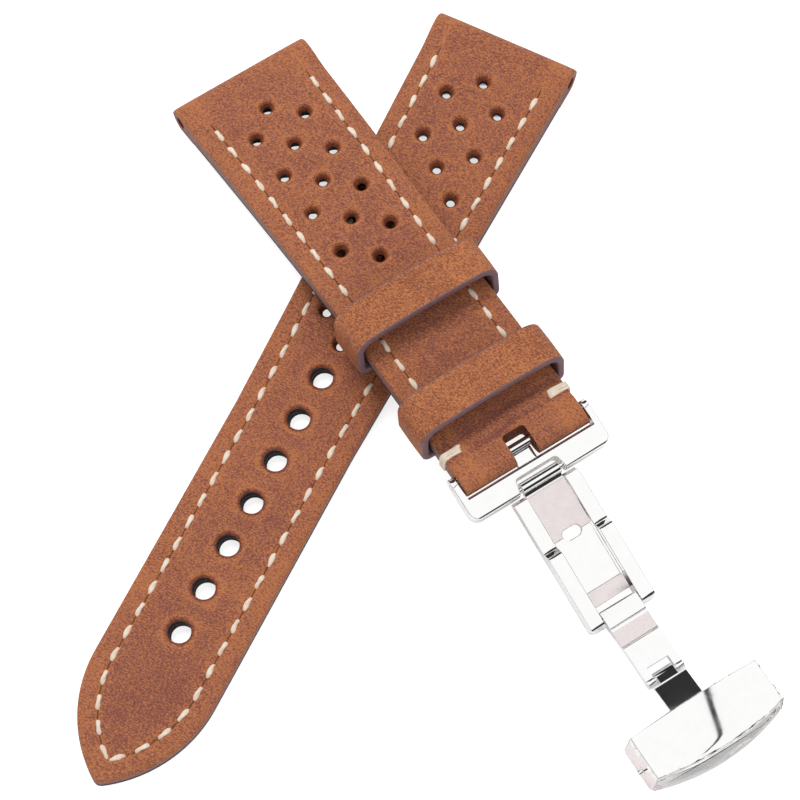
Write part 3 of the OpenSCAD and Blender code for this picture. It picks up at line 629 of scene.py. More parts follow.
def folds(s, q):
    size, pace, shift = FOLD_BEND
    bent = s + size * np.sin(q * pace + shift) + FOLD_RIPPLE[0] * np.sin(q * FOLD_RIPPLE[1])
    return sum(h * (FOLD_LEAST + (1 - FOLD_LEAST) * np.sin(q * FOLD_PACE + k)) * bell(bent - at, wide)
               for k, (at, h, wide) in enumerate(FOLDS))


def short_upper(s, q, rim):
    edge = short_edge(s, q)
    crown = np.where(s <= BAR_AT, crown_of(s, SHORT_TAPER), END_CROWN * end_swell(s) / END_T)
    z = short_top_of(s) - crown * drop(q / short_half(s))
    fade = np.where(s > BAR_AT, end_swell(s) / END_T, 1)
    z = z - rounding(edge, FACE_R) * np.where(s < 0, np.minimum(1, short_thick(s) / 2), fade)
    z = seam_relief(z, s, q, edge, short_stitches, STITCH_END_LONG, STITCH_END_SHORT)
    return z + folds(s, q) * ease((s - FOLDS_FROM) / FOLDS_EASE) - FUNNEL_DEPTH * bell(rim, FUNNEL_WIDE)


def short_lower(s, q, rim):
    under = short_base(s) + np.where(s > LINING_END, rounding(short_edge(s, q), UNDER_R), 0)
    return np.where((s > LINING_FROM) & (s < LINING_END), short_base(s) + LINING_T, under)


# Tone of the short piece, with painted shade in its creases and beside the fixed keeper
def short_tone_and_shade(s, q):
    crease_shade = np.clip(-folds(s, q), 0, 1) * ease((s - CREASE_FROM) / CREASE_RUN)
    end = END_WARM * ease((s - END_WARM_FROM) / END_WARM_RUN)
    return lug_warm(s) + end - CREASE_PAINTED_SHADE * crease_shade - KEEPER_PAINTED_SHADOW * bell(s - KEEPER_SHADOW_AT, KEEPER_SHADOW_WIDE)


def short_slit_shade(s, q):
    return between(s, q, short_stitches, short_edge(s, q)) * (s < STITCH_END_SHORT + 1)


END_ANGLES = (10, 20, 30, 40, 49, 57, 65, 72, 78, 84, 90)
end_rows = [BAR_AT + BAR_TO_EDGE * math.sin(math.radians(a)) for a in END_ANGLES]
short_holes = perforations(SHORT_PERFS)
short_marks = patch_marks(short_holes)
short_kit = (short_holes, short_row, short_top_of, SHORT_LEAN)
short_rows = spaced([0, SHORT_TAPER, BAR_AT] + lining_start + lining_stop + short_marks, FACE_STEP)
short_top = sheet_mesh(
    "short_face", NOSE_ROWS + short_rows + end_rows, COLUMNS, short_half, short_upper, short_lower,
    *short_kit, {"edge": short_edge, "warm": short_tone_and_shade, "slit": short_slit_shade})
short_backing = lining_faces(short_base, short_edge)
short_lining = sheet_mesh(
    "short_backing", back_rows(short_marks, [SHORT_TAPER, lining_stop[0]]), LINING_COLUMNS, short_half,
    *short_backing, *short_kit, {"edge": short_edge})


def cut_out(ob, cutter):
    """Cuts the cutter out of ob and removes it."""
    mod = ob.modifiers.new("cut", "BOOLEAN")
    mod.operation = "DIFFERENCE"
    mod.solver = "EXACT"
    mod.object = cutter
    graph = bpy.context.evaluated_depsgraph_get()
    mesh = bpy.data.meshes.new_from_object(ob.evaluated_get(graph))
    ob.modifiers.clear()
    ob.data = mesh
    bpy.data.objects.remove(cutter)


def rod_cutter(place, s, z, r, sides=32):
    """A closed cylinder across a leather piece, for cutting."""
    reach = LUG_W / 2 + 1
    ring = [(s + r * math.cos(t), z + r * math.sin(t)) for t in np.linspace(0, 2 * math.pi, sides, False)]
    verts = place([(a, q, b) for q in (-reach, reach) for a, b in ring])
    faces = [tuple(range(sides)), tuple(range(2 * sides - 1, sides - 1, -1))]
    faces += [(k, k + sides, (k + 1) % sides + sides, (k + 1) % sides) for k in range(sides)]
    return new_mesh("cutter", verts, faces)


def notch_cutter(place, low, high, r):
    """A block with rounded upright corners, for cutting."""
    bm = bmesh.new()
    bmesh.ops.create_cube(bm, size=1)
    for v in bm.verts:
        v.co = Vector([low[k] if v.co[k] < 0 else high[k] for k in range(3)])
    upright = [e for e in bm.edges if abs(e.verts[0].co.z - e.verts[1].co.z) > 1]
    bmesh.ops.bevel(bm, geom=upright, offset=r, segments=5, affect="EDGES", profile=0.5)
    for v in bm.verts:
        v.co = Vector(place(v.co)[0])
    mesh = bpy.data.meshes.new("cutter")
    bm.to_mesh(mesh)
    bm.free()
    return new_object("cutter", mesh)


BAR_Z = float(arch(BAR_AT)) + TABLE + END_T / 2
cut_out(long_top, rod_cutter(long_row, 0, 0, BORE_R))
cut_out(short_top, rod_cutter(short_row, 0, 0, BORE_R))
cut_out(short_top, rod_cutter(short_row, BAR_AT, BAR_Z, BAR_HOLE_R))
cut_out(short_top, notch_cutter(
    short_row, (SHORT_L - NOTCH_D, -NOTCH_W / 2, TABLE),
    (SHORT_L + NOTCH_PAST, NOTCH_W / 2, NOTCH_TOP), NOTCH_R))


def height_at(face, s, q):
    """Height of a face at one place, away from its holes."""
    return float(face(np.array([s]), np.array([q]), np.array([FAR]))[0])


def ring_faces(start, sides):
    """Faces between a ring of points and the next ring."""
    return [(start + k, start + (k + 1) % sides, start + (k + 1) % sides + sides, start + k + sides)
            for k in range(sides)]


# Thread: how far its ends dive, how far its middle rises from there, and the power that squares its arc
THREAD_DIVE, THREAD_RISE, THREAD_ARC = 0.3, 0.44, 0.6
# Share of its radius at the ends, how flat it lies, and the most that a stitch lies aslant
THREAD_END, THREAD_FLAT, THREAD_SLANT = 0.42, 0.85, 0.07
# Its two strands: how far they stand out, and their turns along a stitch
STRAND_SWELL, STRAND_TURNS = 0.2, 1.6


def thread(name, stitches, place, face, side, sides=12, rings=15):
    """Two-strand stitches that bulge from a face and dive into it at both ends. side is 1 on top and
    -1 below."""
    verts, faces = [], []
    for a, b in stitches:
        turn, slant = rng.uniform(0, 6.28), rng.uniform(-THREAD_SLANT, THREAD_SLANT)
        d = (b - a) / STITCH
        n = np.array([-d[1], d[0]])
        base = len(verts)
        for i in range(rings):
            t = i / (rings - 1)
            x = STITCH * (0.5 - 0.5 * math.cos(math.pi * t))
            rise = math.sin(math.pi * t) ** THREAD_ARC
            w = a + d * x + n * slant * (x - STITCH / 2)
            z = height_at(face, w[0], w[1]) + side * (THREAD_RISE * rise - THREAD_DIVE)
            r0 = THREAD_R * (THREAD_END + (1 - THREAD_END) * rise)
            for k in range(sides):
                th = 2 * math.pi * k / sides
                r = r0 * (1 + STRAND_SWELL * math.cos(2 * (th - turn) - 2 * math.pi * STRAND_TURNS * t))
                out = w + n * r * math.cos(th)
                verts.append((out[0], out[1], z + r * THREAD_FLAT * math.sin(th)))
        last = base + (rings - 1) * sides
        for start in range(base, last, sides):
            faces += ring_faces(start, sides)
        faces += [tuple(base + k for k in range(sides)), tuple(last + k for k in range(sides))]
    return new_mesh(name, place(verts), faces)


def tube(path, r, sides=10, lobes=0.18, turns=1.2):
    """Vertices and faces of a twisted strand along a path in (s, q, z)."""
    verts, faces = [], []
    path = [Vector(p) for p in path]
    for i, p in enumerate(path):
        d = (path[min(i + 1, len(path) - 1)] - path[max(i - 1, 0)]).normalized()
        u = Vector((1, 0, 0))
        v = d.cross(u).normalized()
        for k in range(sides):
            th = 2 * math.pi * k / sides
            rr = r * (1 + lobes * math.cos(2 * th - 2 * math.pi * turns * i / len(path)))
            verts.append(tuple(p + u * rr * math.cos(th) + v * rr * math.sin(th)))
    last = (len(path) - 1) * sides
    for start in range(0, last, sides):
        faces += ring_faces(start, sides)
    return verts, faces + [tuple(range(sides)), tuple(range(last, last + sides))]


# Bar tack on both edges of the buckle end: place along the piece, strands, their spacing and radius
TACK_AT, TACK_STRANDS, TACK_STEP, STRAND_R = 68.1, 3, 0.36, 0.24
# Where a strand starts on the face, how uneven the starts are, its most slant, and the run for that slant
TACK_FROM, TACK_UNEVEN, TACK_SLANT, TACK_RUN = 7.0, (-0.15, 0.35), 0.12, 3
# How far before the edge it leaves the face, its height over it, and the depth and width of its first dive
TACK_LEAVE, TACK_OVER, TACK_DIVE, TACK_DIVE_WIDE = 0.35, 0.1, 0.35, 0.3
# Distance past the edge, and height, round the corner, down the edge and under the leather
TACK_CORNER = ((-0.05, -0.12), (0.1, -0.45))
TACK_SIDE, TACK_SIDE_GAP = 0.12, 0.4
TACK_UNDER = ((-0.1, 0.02), (-0.5, -0.08), (-1.6, -0.08), (-2.2, 0.25))


def tack_route(k, sign):
    """Route of one strand in (s, q, z), from the face round the edge to the underside."""
    half = SHORT_W / 2
    s = TACK_AT + (k - (TACK_STRANDS - 1) / 2) * TACK_STEP
    start = TACK_FROM + rng.uniform(*TACK_UNEVEN)
    slant = rng.uniform(-TACK_SLANT, TACK_SLANT)
    low = height_at(lambda s, q, rim: short_base(s), s, 0)
    path = []
    for q in np.linspace(start, half - TACK_LEAVE, 12):
        z = height_at(short_upper, s, sign * q) + TACK_OVER - TACK_DIVE * bell(q - start, TACK_DIVE_WIDE)
        path.append((s + slant * (q - start) / TACK_RUN, sign * q, z))
    s, _, rim_z = path[-1]
    path += [(s, sign * (half + out), rim_z + up) for out, up in TACK_CORNER]
    side = np.linspace(path[-1][2] - TACK_SIDE_GAP, low + TACK_SIDE_GAP, 4)
    path += [(s, sign * (half + TACK_SIDE), z) for z in side]
    return path + [(s, sign * (half + out), low + up) for out, up in TACK_UNDER]


def bar_tacks():
    verts, faces = [], []
    for sign in (-1, 1):
        for k in range(TACK_STRANDS):
            v, f = tube(tack_route(k, sign), STRAND_R)
            faces += [tuple(i + len(verts) for i in face) for face in f]
            verts += v
    return new_mesh("bar_tacks", short_row(verts), faces)


long_thread = thread("long_thread", long_stitches, long_row, long_upper, 1)
short_thread = thread("short_thread", short_stitches, short_row, short_upper, 1)
long_thread_back = thread("long_thread_back", long_stitches, long_row, long_backing[1], -1)
short_thread_back = thread("short_thread_back", short_stitches, short_row, short_backing[1], -1)
tacks = bar_tacks()


def keeper_path(play):
    """Inside of the loop as (q, z, direction outwards along q, and along z)."""
    low, high = -play, END_T + TAIL_T + KEEPER_HEADROOM
    half, low_r = SHORT_W / 2 + KEEPER_ROOM, KEEPER_LOW_R
    path = []

    def corner(cx, cz, r, start):
        for t in np.radians(np.linspace(start, start + 90, 9)):
            path.append((cx + r * math.cos(t), cz + r * math.sin(t), math.cos(t), math.sin(t)))

    corner(half - low_r, low + low_r, low_r, -90)
    corner(half - KEEPER_R, high - KEEPER_R, KEEPER_R, 0)
    for x in np.linspace(1, -1, 25)[1:-1]:
        z = high + KEEPER_DOME * (1 - x * x)
        path.append((x * (half - KEEPER_R), z, 2 * KEEPER_DOME * x / half, 1))
    corner(-half + KEEPER_R, high - KEEPER_R, KEEPER_R, 90)
    corner(-half + low_r, low + low_r, low_r, 180)
    return path + [(x * (half - low_r), low, 0, -1) for x in np.linspace(-0.9, 0.9, 19)]


def keeper_section():
    """Section of the strip, with rounded edges and a crowned outside."""
    w, t, e = KEEPER_W / 2, KEEPER_T, KEEPER_EDGE_R
    section = []
    for cx, cy, start in ((w - e, e, -90), (w - e, t - e, 0), (-w + e, t - e, 90), (-w + e, e, 180)):
        arc = np.radians(np.linspace(start, start + 90, 5))
        section += [(cx + e * math.cos(a), cy + e * math.sin(a)) for a in arc]
        if start == 0:
            section += [(x * (w - e), t + KEEPER_CROWN * (1 - x * x)) for x in np.linspace(1, -1, 13)[1:-1]]
    return section


def keeper(name, at, play):
    """A leather loop round the short piece. Its attribute "cut" is 1 on the cut edges and inside."""
    path, section, slope = keeper_path(play), keeper_section(), arch_slope(at)
    n, m = len(path), len(section)
    outside = KEEPER_W / 2 - KEEPER_EDGE_R + KEEPER_CUT
    verts, cut = [], []
    for q, z, nq, nz in path:
        length = math.hypot(nq, nz)
        for x, y in section:
            out, up = q + nq / length * y, z + nz / length * y
            verts.append((at + x * math.cos(slope) - up * math.sin(slope), out,
                          TABLE + float(arch(at)) + x * math.sin(slope) + up * math.cos(slope)))
            cut.append(1.0 if abs(x) > outside or y < KEEPER_INSIDE else 0.0)
    faces = [(i * m + k, i * m + (k + 1) % m, (i + 1) % n * m + (k + 1) % m, (i + 1) % n * m + k)
             for i in range(n) for k in range(m)]
    return new_mesh(name, short_row(verts), faces, {"cut": cut})


fixed = keeper("fixed_loop", FIXED_AT, FIXED_PLAY)
free = keeper("free_loop", FREE_AT, FREE_PLAY)


# Clasp. Each steel piece is the CAD's own mesh with its edges broken, so that they catch the light.
def from_row(origin, x_axis):
    """Row frame, in metres, to a blade's own millimetres: x along it, y across, z up."""
    x = x_axis.normalized()
    turn = Matrix((x, ACROSS, x.cross(ACROSS))).to_4x4()
    return Matrix.Scale(1 / MM, 4) @ turn @ Matrix.Translation(-origin)


def tilted(degrees):
    a = math.radians(degrees)
    return ALONG * math.cos(a) - Vector((0, 0, math.sin(a)))


# Place of the fold hinge in the outer blade's own frame, and the cover's slope at rest, as in the CAD
FOLD_HINGE_X, FOLD_HINGE_Z, COVER_REST = 20.9, 0.85, 3.207
outer_hinge, fold_hinge, cover_hinge = (
    joint_at[name] for name in ("outer_blade_hinge", "clasp_fold", "cover_hinge"))
span = fold_hinge - outer_hinge
outer_angle = math.degrees(math.atan2(-span.z, span.dot(ALONG)) + math.atan2(FOLD_HINGE_Z, FOLD_HINGE_X))
in_outer = from_row(outer_hinge, tilted(outer_angle))
in_inner = from_row(fold_hinge, cover_hinge - fold_hinge)
in_cover = from_row(cover_hinge, tilted(COVER_REST))

# Satin zones, in each piece's own millimetres: (low corner, high corner)
PLATE_FROM, PLATE_TO, CHANNEL_HALF = 8.57, 16.72, 2.7
OUTER_SATIN = (((1.4, -CHANNEL_HALF, -1.1), (PLATE_FROM + 0.02, CHANNEL_HALF, 0.1)),
               ((PLATE_TO - 0.02, -CHANNEL_HALF, -1.1), (19.2, CHANNEL_HALF, 0.1)))
INNER_SATIN = (((2.1, -3, 0.3), (4.65, 3, 0.6)),)
WALL_SATIN = (((5, -12, -0.5), (13, -9.3, 4.0)), ((5, 9.3, -0.5), (13, 12, 4.0)))
# Faces that meet at less than FLAT are joined, and outer edges of more than SHARP are broken
FLAT, SHARP = math.radians(0.8), math.radians(32)


def cut_across(bm, x):
    bmesh.ops.bisect_plane(bm, geom=bm.verts[:] + bm.edges[:] + bm.faces[:], dist=0.001,
                           plane_co=(x, 0, 0), plane_no=(1, 0, 0))


def machined(name, node, edge_r, merge, own=Matrix.Scale(1 / MM, 4), satin=(), pillow=None):
    """A copy of a steel node with broken edges. Points closer than merge become one first. Faces whose
    middle lies in a satin zone get the second material."""
    bm = bmesh.new()
    bm.from_mesh(nodes[node].data)
    bm.transform(own)
    bmesh.ops.remove_doubles(bm, verts=bm.verts, dist=merge)
    bmesh.ops.dissolve_limit(bm, angle_limit=FLAT, verts=bm.verts, edges=bm.edges)
    for low, high in satin:
        for corner in (low, high):
            cut_across(bm, corner[0])
    if pillow:
        pillow(bm)
    sharp = [e for e in bm.edges if len(e.link_faces) == 2 and e.calc_face_angle(0) > SHARP]
    for e in sharp:
        e.smooth = e.is_convex
    bmesh.ops.bevel(bm, geom=[e for e in sharp if e.is_convex], offset=edge_r, segments=3, profile=0.5,
                    affect="EDGES", clamp_overlap=False)
    for f in bm.faces:
        f.smooth = True
        c = f.calc_center_median()
        f.material_index = int(any(all(lo[k] <= c[k] <= hi[k] for k in range(3)) for lo, hi in satin))
    bm.transform(own.inverted())
    mesh = bpy.data.meshes.new(name)
    bm.to_mesh(mesh)
    bm.free()
    ob = new_object(name, mesh)
    mod = ob.modifiers.new("normals", "WEIGHTED_NORMAL")
    mod.mode = "FACE_AREA"
    mod.weight = 90
    mod.keep_sharp = True
    return ob


# Cover's plate, in its own millimetres: where it starts and ends, and the cuts that let it bend
COVER_FROM, COVER_TO, COVER_CUTS = 5.8, 13.7, 20
# How far it falls to both ends and its front edge drops, how late, and the height from which it bends
CROWN, FRONT_DROP, FRONT_POWER, ROOF = 0.012, 0.12, 14, 4.0


def pillow_cover(bm):
    """Rounds the cover's plate down towards its front edge, as the photo's reflections show."""
    middle, half = (COVER_FROM + COVER_TO) / 2, (COVER_TO - COVER_FROM) / 2
    for t in np.linspace(-1, 1, COVER_CUTS + 2)[1:-1]:
        cut_across(bm, middle + half * math.sin(t * math.pi / 2))
    for v in bm.verts:
        if v.co.z > ROOF:
            t = (v.co.x - middle) / half
            v.co.z -= CROWN * t * t + FRONT_DROP * max(0.0, t) ** FRONT_POWER


# Each with the radius of its broken edges and the distance at which points are merged
steel_pieces = {
    "buckle_frame": machined("clasp_frame", "buckle_frame", 0.14, 0.04),
    "outer_blade": machined("clasp_outer", "outer_blade", 0.08, 0.04, in_outer, OUTER_SATIN),
    "inner_blade": machined("clasp_inner", "inner_blade", 0.06, 0.02, in_inner, INNER_SATIN),
    "tongue": machined("clasp_tongue", "tongue", 0.05, 0.02),
    "cover_shell": machined("clasp_cover", "cover_shell", 0.13, 0.1, in_cover, WALL_SATIN, pillow_cover),
}


# Materials
class Graph:
    """Short names for the nodes of a material or of the world."""

    def __init__(self, owner):
        owner.use_nodes = True
        self.nodes = owner.node_tree.nodes
        self.link = owner.node_tree.links.new
        self.nodes.clear()
        self.coordinates = self.nodes.new("ShaderNodeTexCoord")
        self.place = self.coordinates.outputs["Object"]

    def node(self, kind, inputs=(), **props):
        """A node whose inputs, by name or number, are values or the outputs of other nodes."""
        n = self.nodes.new(kind)
        for key, value in props.items():
            setattr(n, key, value)
        for key, value in dict(inputs).items():
            if isinstance(value, bpy.types.NodeSocket):
                self.link(value, n.inputs[key])
            else:
                n.inputs[key].default_value = value + (1,) if n.inputs[key].type == "RGBA" else value
        return n

    def noise(self, scale, detail, rough, stretch=None, distortion=0.0):
        where = self.place
        if stretch:
            where = self.node("ShaderNodeMapping", {"Vector": where, "Scale": stretch}).outputs[0]
        return self.node("ShaderNodeTexNoise", {
            "Vector": where, "Scale": scale, "Detail": detail, "Roughness": rough,
            "Distortion": distortion}).outputs[0]

    def cells(self, scale):
        n = self.node("ShaderNodeTexVoronoi", {"Vector": self.place, "Scale": scale}, feature="F1")
        return n.outputs["Distance"]

    def ramp(self, fac, stops):
        n = self.node("ShaderNodeValToRGB", {0: fac})
        els = n.color_ramp.elements
        els.remove(els[1])
        els[0].position, els[0].color = stops[0][0], stops[0][1] + (1,)
        for at, colour in stops[1:]:
            els.new(at).color = colour + (1,)
        return n.outputs[0]

    def grey(self, fac, *stops):
        return self.ramp(fac, [(at, (v, v, v)) for at, v in stops])

    def mix(self, fac, a, b, mode="MIX"):
        n = self.node("ShaderNodeMix", {0: fac, 6: a, 7: b}, data_type="RGBA", blend_type=mode)
        return n.outputs[2]

    def math(self, op, a, b=0.0, c=0.0):
        return self.node("ShaderNodeMath", {0: a, 1: b, 2: c}, operation=op).outputs[0]

    def total(self, *parts):
        """Sum of (value, factor) pairs."""
        out = 0.0
        for value, factor in parts:
            out = self.math("MULTIPLY_ADD", value, factor, out)
        return out

    def attribute(self, name):
        return self.node("ShaderNodeAttribute", attribute_name=name).outputs["Fac"]

    def bump(self, height, strength, distance):
        inputs = {"Height": height, "Strength": strength, "Distance": distance}
        return self.node("ShaderNodeBump", inputs).outputs[0]

    def surface(self, inputs):
        bsdf = self.node("ShaderNodeBsdfPrincipled", inputs)
        self.node("ShaderNodeOutputMaterial", {0: bsdf.outputs[0]})


def material(name):
    m = bpy.data.materials.new(name)
    return m, Graph(m)


# Colours, as they show in plain light, from dark to light
BROWN, MIDDLE, ORANGE = (0.225, 0.072, 0.053), (0.375, 0.130, 0.078), (0.55, 0.20, 0.075)
KEEPER_BROWN, KEEPER_MIDDLE, KEEPER_ORANGE = (0.25, 0.08, 0.04), (0.43, 0.148, 0.07), (0.60, 0.225, 0.085)
LINING_DARK, LINING_PALE = (0.018, 0.017, 0.019), (0.045, 0.042, 0.047)
THREAD_DARK, THREAD_PALE = (0.9, 0.72, 0.55), (1.0, 0.92, 0.79)
# Painted edge of the strap, its lighter patches as a factor, and the cut edge of a keeper
EDGE_PAINT, EDGE_LIGHTER = (0.22, 0.125, 0.115), 1.5
CUT_DARK, CUT_PALE = (0.16, 0.09, 0.105), (0.27, 0.17, 0.19)
# Wall of a hole, near black for its black lining and for painted shade, painted shade of the slit between
# stitches, and the factor of painted shade by which a hole's rim is darker
HOLE_WALL_AND_SHADE, SLIT_SHADE, HOLE_RIM_SHADE = (0.014, 0.011, 0.012), (0.075, 0.026, 0.012), (0.42, 0.24, 0.15)
# Steel, whose satin pink tint is painted reflection, and how much darker its patches are
POLISHED, SATIN_AND_REFLECTION, STEEL_PATCH = (0.99, 0.985, 0.98), (0.92, 0.84, 0.83), 0.97

# Features of the leather, in waves per metre, and how much each changes its tone
CLOUDS, PATCHES, SPECKS, FINE, PORES, EDGE_MOTTLE = 150, 620, 3300, 4600, 2400, 1500
CLOUD_SHARE, PATCH_SHARE, SPECK_SHARE, FINE_SHARE = 0.26, 0.22, 0.5, 2.2
# Taken from the sum, so that its mean is 0.5
TONE_SHIFT = 1.095
# Millimetres over which the tone changes at an edge and at a hole, and over which painted shade darkens a
# hole's rim
EDGE_RUN, HOLE_RUN, HOLE_RIM_SHADE_RUN = 6, 3, 0.6


def grain(g):
    """Tone of oiled leather around 0.5, its fine grain and its pores."""
    clouds = g.noise(CLOUDS, 3, 0.5, (0.7, 1.0, 1.0), 0.4)
    patches = g.noise(PATCHES, 2, 0.5, (0.7, 1.1, 1.0), 0.3)
    fine = g.noise(FINE, 3, 0.75, (0.6, 1.3, 1.0))
    specks = g.noise(SPECKS, 2, 0.6, (0.7, 1.1, 1.0))
    tone = g.total((clouds, CLOUD_SHARE), (patches, PATCH_SHARE), (fine, FINE_SHARE), (specks, SPECK_SHARE))
    return g.math("SUBTRACT", tone, TONE_SHIFT), fine, g.cells(PORES)


def finish_leather(g, col, fine, pores, tone):
    """Surface of leather: its roughness follows the tone, and pores and grain show as bumps."""
    height = g.total((pores, 0.7), (fine, 0.6))
    g.surface({"Base Color": col, "Roughness": g.grey(tone, (0.3, 0.52), (0.7, 0.7)),
               "Specular IOR Level": 0.3, "Normal": g.bump(height, 0.35, 0.0002)})


def leather():
    m, g = material("orange_leather")
    tone, fine, pores = grain(g)
    edge, rim, slit, side = (g.attribute(name) for name in ("edge", "rim", "slit", "side"))
    from_seam = g.math("ABSOLUTE", g.math("SUBTRACT", edge, INSET))
    at_edge = g.grey(g.math("DIVIDE", edge, EDGE_RUN), (0.0, 0.08), (0.4, 0.055), (0.8, 0.0))
    at_seam = g.grey(from_seam, (0.0, 0.09), (0.9, 0.0))
    at_hole = g.grey(g.math("DIVIDE", rim, HOLE_RUN), (0.1, 0.0), (0.25, 0.11), (0.8, 0.0))
    # The tone attribute also carries, on the short piece, painted shade in its creases and beside the fixed
    # keeper
    tone = g.total((g.attribute("warm"), 1.0), (tone, 1.0), (at_edge, 1.0), (at_seam, 1.0), (at_hole, 1.0))
    col = g.ramp(tone, [(0.355, BROWN), (0.5, MIDDLE), (0.665, ORANGE)])
    col = g.mix(0.5, col, g.grey(pores, (0.05, 0.5), (0.35, 1.0)), "MULTIPLY")
    # Painted shade deep in a hole, darkest at its rim
    rim_shade = g.ramp(g.math("DIVIDE", rim, HOLE_RIM_SHADE_RUN), [(0.0, HOLE_RIM_SHADE), (0.9, (1.0, 1.0, 1.0))])
    col = g.mix(1.0, col, rim_shade, "MULTIPLY")
    # Painted shade along the slit between stitches
    col = g.mix(g.grey(slit, (0.15, 0.0), (0.8, 0.9)), col, SLIT_SHADE)
    paint = g.mix(g.noise(EDGE_MOTTLE, 3, 0.6), EDGE_PAINT, tuple(c * EDGE_LIGHTER for c in EDGE_PAINT))
    col = g.mix(g.grey(side, (0.2, 0.0), (0.8, 1.0)), col, paint)
    # Walls of the holes near black: the black lining in part and painted shade in part
    col = g.mix(g.grey(g.math("SUBTRACT", side, ON_EDGE), (0.2, 0.0), (0.9, 1.0)), col, HOLE_WALL_AND_SHADE)
    finish_leather(g, col, fine, pores, tone)
    return m


def keeper_leather():
    m, g = material("keeper_leather")
    tone, fine, pores = grain(g)
    col = g.ramp(tone, [(0.36, KEEPER_BROWN), (0.5, KEEPER_MIDDLE), (0.66, KEEPER_ORANGE)])
    cut = g.grey(g.attribute("cut"), (0.3, 0.0), (0.8, 1.0))
    edge = g.mix(g.noise(EDGE_MOTTLE, 3, 0.6), CUT_DARK, CUT_PALE)
    finish_leather(g, g.mix(cut, col, edge), fine, pores, tone)
    return m


def lining_leather():
    m, g = material("black_lining")
    fine, pores = g.noise(3600, 3, 0.7), g.cells(2600)
    tone = g.noise(260, 5, 0.6)
    col = g.ramp(tone, [(0.35, LINING_DARK), (0.65, LINING_PALE)])
    finish_leather(g, col, fine, pores, tone)
    return m


def waxed_thread():
    m, g = material("cream_thread")
    tone, fibre = g.noise(1100, 3, 0.6), g.noise(9000, 3, 0.6)
    g.surface({"Base Color": g.ramp(tone, [(0.3, THREAD_DARK), (0.7, THREAD_PALE)]),
               "Roughness": 0.7, "Sheen Weight": 0.15, "Normal": g.bump(fibre, 0.4, 0.0001)})
    return m


def steel(name, base, rough, spread):
    """Metal with faint patches, whose roughness differs by spread."""
    m, g = material(name)
    patch = g.noise(700, 4, 0.6)
    dark = tuple(c * STEEL_PATCH for c in base)
    g.surface({"Base Color": g.ramp(patch, [(0.3, dark), (0.7, base)]), "Metallic": 1.0,
               "Roughness": g.grey(patch, (0.3, rough), (0.7, rough + spread))})
    return m


orange_m, lining_m, thread_m, keeper_m = leather(), lining_leather(), waxed_thread(), keeper_leather()
polished = steel("polished_steel", POLISHED, 0.03, 0.02)
# Satin steel, tinted pink by painted reflection
satin = steel("satin_steel", SATIN_AND_REFLECTION, 0.24, 0.08)


def dress(ob, *materials):
    """Puts materials on a piece, and keeps which face has which."""
    faces = [p.material_index for p in ob.data.polygons]
    ob.data.materials.clear()
    for m in materials:
        ob.data.materials.append(m)
    if len(materials) > 1:
        ob.data.polygons.foreach_set("material_index", faces)


def fit(ob, body, slot, replaced=(), *materials):
    dress(ob, *materials)
    if replaced:
        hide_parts(*replaced)
    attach(ob, body)


fit(long_top, "long_strap", "orange_leather", ("long_top_leather", "long_padding"), orange_m)
fit(long_lining, "long_strap", "black_lining", ("long_lining",), lining_m)
fit(short_top, "short_strap", "orange_leather", ("short_top_leather", "short_padding"), orange_m)
fit(short_lining, "short_strap", "black_lining", ("short_lining",), lining_m)
fit(fixed, "short_strap", "keeper_leather", ("fixed_keeper",), keeper_m)
fit(free, "free_keeper", "keeper_leather", ("free_keeper",), keeper_m)
for ob in (long_thread, long_thread_back):
    fit(ob, "long_strap", "orange_leather", (), thread_m)
for ob in (short_thread, short_thread_back, tacks):
    fit(ob, "short_strap", "orange_leather", (), thread_m)
for node, ob in steel_pieces.items():
    satin_slots = [p for p in ob.data.polygons if p.material_index == 1]
    fit(ob, nodes[node]["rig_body"], "polished_steel", (node,), polished, *([satin] if satin_slots else []))
for node in ("spring_bar_tube", "frame_hinge_pin", "fold_hinge_pin", "cover_hinge_pin", "cover_bar"):
    dress(nodes[node], polished)
for node in ("spring_bar_tips", "spring_bar_coil", "tongue_peg"):
    dress(nodes[node], satin)


# Studio: light of the world and of the two lamps, and where the lamps point
WORLD_LIGHT, KEY_LIGHT, FILL_LIGHT = 0.52, 2.4, 0.9
LAMP_AIM = Vector((0, -0.06, 0))
# Floor: half its width, its grey, and the glow that the camera and the steel see, which keeps it white
FLOOR_HALF, FLOOR_GREY, FLOOR_SEEN, FLOOR_MIRRORED = 1.5, 0.9, 0.7, 0.15


def floor():
    s, z = FLOOR_HALF, TABLE * MM
    mesh = bpy.data.meshes.new("floor")
    mesh.from_pydata([(-s, -s, z), (s, -s, z), (s, s, z), (-s, s, z)], [], [(0, 1, 2, 3)])
    ob = new_object("floor", mesh)
    m, g = material("floor")
    path = g.node("ShaderNodeLightPath")
    seen, reflected = path.outputs["Is Camera Ray"], path.outputs["Is Glossy Ray"]
    g.surface({"Base Color": (FLOOR_GREY, FLOOR_GREY, FLOOR_GREY), "Roughness": 0.9,
               "Specular IOR Level": 0.1, "Emission Color": (1.0, 1.0, 1.0),
               "Emission Strength": g.total((seen, FLOOR_SEEN), (reflected, FLOOR_MIRRORED))})
    mesh.materials.append(m)


# What polished steel mirrors: a soft white light that ends in dark edges. A direction is given as u and v,
# its place on a plane one metre above the object, towards +X and +Y. Brightness of the dark edges, ends of
# the right one along u, of the front one along v and of the dark corner along both, and how soft they are
DARK = 0.03
RIGHT_BAND, FRONT_BAND = (0.75, 3.2), (-2.7, -0.6)
CORNER_U, CORNER_V, BLUR, STEP_ROUND = (-1.6, -0.1), (0.335, 2.0), 0.03, 0.05
# Narrow dark gap in the light: a place on it, its slope, half width and softness
GAP_AT, GAP_LEAN, GAP_HALF, GAP_SOFT = (0.047, 0.345), 0.19, 0.0065, 0.001
# Directions lower than this count as this high
LEAST_UP = 0.01


